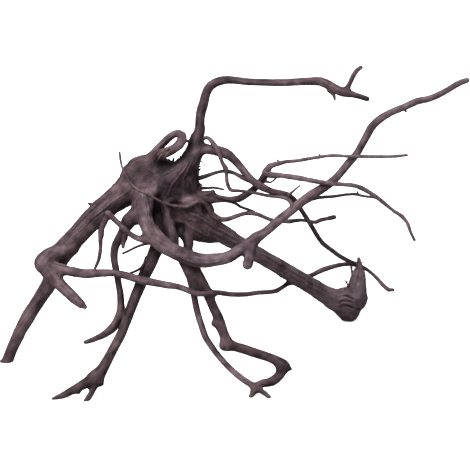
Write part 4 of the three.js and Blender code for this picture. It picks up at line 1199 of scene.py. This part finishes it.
class Graph:
    """Short hand for building a material from nodes."""

    def __init__(self, name: str) -> None:
        """Starts a material.

        Args:
            name: name of the material.
        """
        self.material = bpy.data.materials.new(name)
        self.material.use_nodes = True
        self.tree = self.material.node_tree
        self.shader = self.tree.nodes["Principled BSDF"]

    def attribute(self, name: str, output: str) -> bpy.types.NodeSocket:
        """Reads an attribute of the mesh.

        Args:
            name: name of the attribute.
            output: the socket to read, Fac or Vector.

        Returns:
            The socket.
        """
        node = self.tree.nodes.new("ShaderNodeAttribute")
        node.attribute_name = name
        return node.outputs[output]

    def noise(self, vector: bpy.types.NodeSocket, scale: float, detail: float) -> bpy.types.NodeSocket:
        """Adds smooth noise.

        Args:
            vector: where it is read.
            scale: cells a metre.
            detail: number of finer layers.

        Returns:
            Its value, about 0.5 on average.
        """
        node = self.tree.nodes.new("ShaderNodeTexNoise")
        node.inputs["Scale"].default_value = scale
        node.inputs["Detail"].default_value = detail
        self.tree.links.new(vector, node.inputs["Vector"])
        return node.outputs["Fac"]

    def add(
        self, value: bpy.types.NodeSocket, factor: float, base: float | bpy.types.NodeSocket
    ) -> bpy.types.NodeSocket:
        """Multiplies a value and adds it to a base.

        Args:
            value: the value.
            factor: what it is multiplied by.
            base: what it is added to.

        Returns:
            The sum.
        """
        node = self.tree.nodes.new("ShaderNodeMath")
        node.operation = "MULTIPLY_ADD"
        self.tree.links.new(value, node.inputs[0])
        node.inputs[1].default_value = factor
        if isinstance(base, float):
            node.inputs[2].default_value = base
        else:
            self.tree.links.new(base, node.inputs[2])
        return node.outputs[0]

    def ramp(self, value: bpy.types.NodeSocket, places: tuple, colours: tuple) -> bpy.types.NodeSocket:
        """Turns a value into a colour.

        Args:
            value: the value, 0 to 1.
            places: where on the way from 0 to 1 each colour stands.
            colours: the colours, as red, green and blue.

        Returns:
            The colour.
        """
        node = self.tree.nodes.new("ShaderNodeValToRGB")
        elements = node.color_ramp.elements
        elements[0].position, elements[0].color = places[0], (*colours[0], 1)
        elements[1].position, elements[1].color = places[-1], (*colours[-1], 1)
        for place, colour in zip(places[1:-1], colours[1:-1]):
            elements.new(place).color = (*colour, 1)
        self.tree.links.new(value, node.inputs["Fac"])
        return node.outputs["Color"]

    def mix(
        self, share: bpy.types.NodeSocket, first: bpy.types.NodeSocket, second: bpy.types.NodeSocket
    ) -> bpy.types.NodeSocket:
        """Mixes two colours.

        Args:
            share: share of the second.
            first: the first colour.
            second: the second colour.

        Returns:
            The mixed colour.
        """
        node = self.tree.nodes.new("ShaderNodeMix")
        node.data_type = "RGBA"
        self.tree.links.new(share, node.inputs["Factor"])
        self.tree.links.new(first, node.inputs["A"])
        self.tree.links.new(second, node.inputs["B"])
        return node.outputs["Result"]


@dataclass(frozen=True)
class BarkFinish:
    """Colours of the washed wood, as linear red, green and blue, its pattern, and how rough it is."""

    deep: tuple[float, float, float] = (0.012, 0.006, 0.009)
    plain: tuple[float, float, float] = (0.07, 0.0415, 0.0525)
    pale: tuple[float, float, float] = (0.19, 0.132, 0.154)
    brown_deep: tuple[float, float, float] = (0.02, 0.009, 0.007)
    brown: tuple[float, float, float] = (0.086, 0.048, 0.046)
    brown_pale: tuple[float, float, float] = (0.215, 0.136, 0.124)
    places: tuple[float, float, float] = (0.1, 0.5, 0.95)
    fibre_scale: float = 520.0
    mottling_scale: float = 110.0
    patch_scale: float = 34.0
    pore_scale: float = 330.0
    bump_strength: float = 0.55
    bump_distance: float = 0.8 * MILLIMETRE
    roughness: float = 0.66
    gloss: float = 0.25

    def material(self) -> bpy.types.Material:
        """Builds the bark material.

        How pale the wood is adds up fibres, mottling, patches and tone, less the painted shade of the
        hollows. How brown it is adds up patches and tone. Each sum has a base that brings plain wood to the
        middle of the ramps.

        Returns:
            The material.
        """
        graph = Graph("spiderwood_bark")
        grain = graph.attribute("grain", "Vector")
        place = graph.tree.nodes.new("ShaderNodeTexCoord").outputs["Object"]
        split = graph.tree.nodes.new("ShaderNodeSeparateXYZ")
        graph.tree.links.new(graph.attribute("tone", "Vector"), split.inputs[0])
        fibres = graph.noise(grain, self.fibre_scale, 3)
        mottling = graph.noise(place, self.mottling_scale, 5)
        patches = graph.noise(place, self.patch_scale, 2)
        level = graph.add(fibres, 0.75, -0.795)
        level = graph.add(mottling, 1.05, graph.add(patches, 0.8, level))
        level = graph.add(split.outputs["X"], 0.36, level)
        # Painted shade: the wood is darker the deeper in a hollow or crevice it lies.
        level = graph.add(graph.attribute("hollow_shade", "Fac"), -0.42, level)
        cold = graph.ramp(level, self.places, (self.deep, self.plain, self.pale))
        warm = graph.ramp(level, self.places, (self.brown_deep, self.brown, self.brown_pale))
        brown = graph.add(split.outputs["Y"], 0.8, graph.add(patches, 1.3, -0.6))
        limit = graph.tree.nodes.new("ShaderNodeClamp")
        graph.tree.links.new(brown, limit.inputs["Value"])
        graph.tree.links.new(graph.mix(limit.outputs[0], cold, warm), graph.shader.inputs["Base Color"])
        graph.shader.inputs["Roughness"].default_value = self.roughness
        graph.shader.inputs["Specular IOR Level"].default_value = self.gloss
        bump = graph.tree.nodes.new("ShaderNodeBump")
        bump.inputs["Strength"].default_value = self.bump_strength
        bump.inputs["Distance"].default_value = self.bump_distance
        height = graph.add(fibres, 0.6, graph.noise(place, self.pore_scale, 3))
        graph.tree.links.new(height, bump.inputs["Height"])
        graph.tree.links.new(bump.outputs["Normal"], graph.shader.inputs["Normal"])
        return graph.material


@dataclass(frozen=True)
class Studio:
    """The camera, the floor and the light."""

    lens: float = 1650.0
    sensor: float = 36.0
    far_clip: float = 60.0
    distance: float = 21.53
    aim: tuple[float, float, float] = (0.0003, -0.0057, 0.1314)
    floor_side: float = 14.0
    floor_white: float = 0.95
    floor_bounce: float = 0.28
    floor_glow: float = 0.75
    room: float = 0.38
    lamp_power: float = 4.1
    lamp_spread: float = math.radians(50)
    lamp_turn: tuple[float, float, float] = (math.radians(24), math.radians(-22), 0.0)

    def camera(self) -> None:
        """Sets the long lens that looks down at the root."""
        data = bpy.data.cameras.new("camera")
        data.lens, data.sensor_width, data.clip_end = self.lens, self.sensor, self.far_clip
        cam = linked("camera", data)
        look = np.array([0.0, math.cos(SIGHT_TILT), -math.sin(SIGHT_TILT)])
        cam.location = tuple(np.array(self.aim) - look * self.distance)
        cam.rotation_euler = (math.pi / 2 - SIGHT_TILT, 0.0, 0.0)
        bpy.context.scene.camera = cam

    def floor(self) -> None:
        """Lays the plain pale floor."""
        half = self.floor_side
        corners = np.array([[-half, -half, 0], [half, -half, 0], [half, half, 0], [-half, half, 0]], float)
        floor = mesh_object("floor", corners, [(0, 1, 2, 3)])
        mat = bpy.data.materials.new("floor")
        mat.use_nodes = True
        shader = mat.node_tree.nodes["Principled BSDF"]
        ray = mat.node_tree.nodes.new("ShaderNodeLightPath")
        tone = mat.node_tree.nodes.new("ShaderNodeMapRange")
        tone.inputs["To Min"].default_value = self.floor_bounce
        tone.inputs["To Max"].default_value = self.floor_white
        mat.node_tree.links.new(ray.outputs["Is Camera Ray"], tone.inputs["Value"])
        glow = mat.node_tree.nodes.new("ShaderNodeMath")
        glow.operation = "MULTIPLY"
        glow.inputs[1].default_value = self.floor_glow
        mat.node_tree.links.new(ray.outputs["Is Camera Ray"], glow.inputs[0])
        mat.node_tree.links.new(glow.outputs[0], shader.inputs["Emission Strength"])
        mat.node_tree.links.new(tone.outputs["Result"], shader.inputs["Base Color"])
        shader.inputs["Roughness"].default_value = 1.0
        shader.inputs["Specular IOR Level"].default_value = 0.0
        shader.inputs["Emission Color"].default_value = (1, 1, 1, 1)
        floor.data.materials.append(mat)

    def light(self) -> None:
        """Lights the root from a white room and a large soft lamp overhead."""
        scene = bpy.context.scene
        world = bpy.data.worlds.new("world")
        world.use_nodes = True
        backdrop = world.node_tree.nodes["Background"]
        backdrop.inputs["Color"].default_value = (1, 1, 1, 1)
        ray = world.node_tree.nodes.new("ShaderNodeLightPath")
        strength = world.node_tree.nodes.new("ShaderNodeMapRange")
        strength.inputs["To Min"].default_value = self.room
        strength.inputs["To Max"].default_value = 1.0
        world.node_tree.links.new(ray.outputs["Is Camera Ray"], strength.inputs["Value"])
        world.node_tree.links.new(strength.outputs["Result"], backdrop.inputs["Strength"])
        scene.world = world
        scene.view_settings.view_transform = "Standard"
        data = bpy.data.lights.new("overhead", "SUN")
        data.energy, data.angle = self.lamp_power, self.lamp_spread
        linked("overhead", data).rotation_euler = self.lamp_turn


def main() -> None:
    """Builds the root in its studio."""
    logging.basicConfig(level=logging.INFO)
    studio = Studio()
    studio.camera()
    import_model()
    bark = BarkFinish().material()
    fineness = Fineness.FINISHED
    for obj in (Skin(fineness=fineness).build(), Rootlets().build()):
        obj.data.materials.clear()
        obj.data.materials.append(bark)
        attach(obj, "root")
        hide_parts("spiderwood_root")
    studio.floor()
    studio.light()


if __name__ == "__main__":
    main()
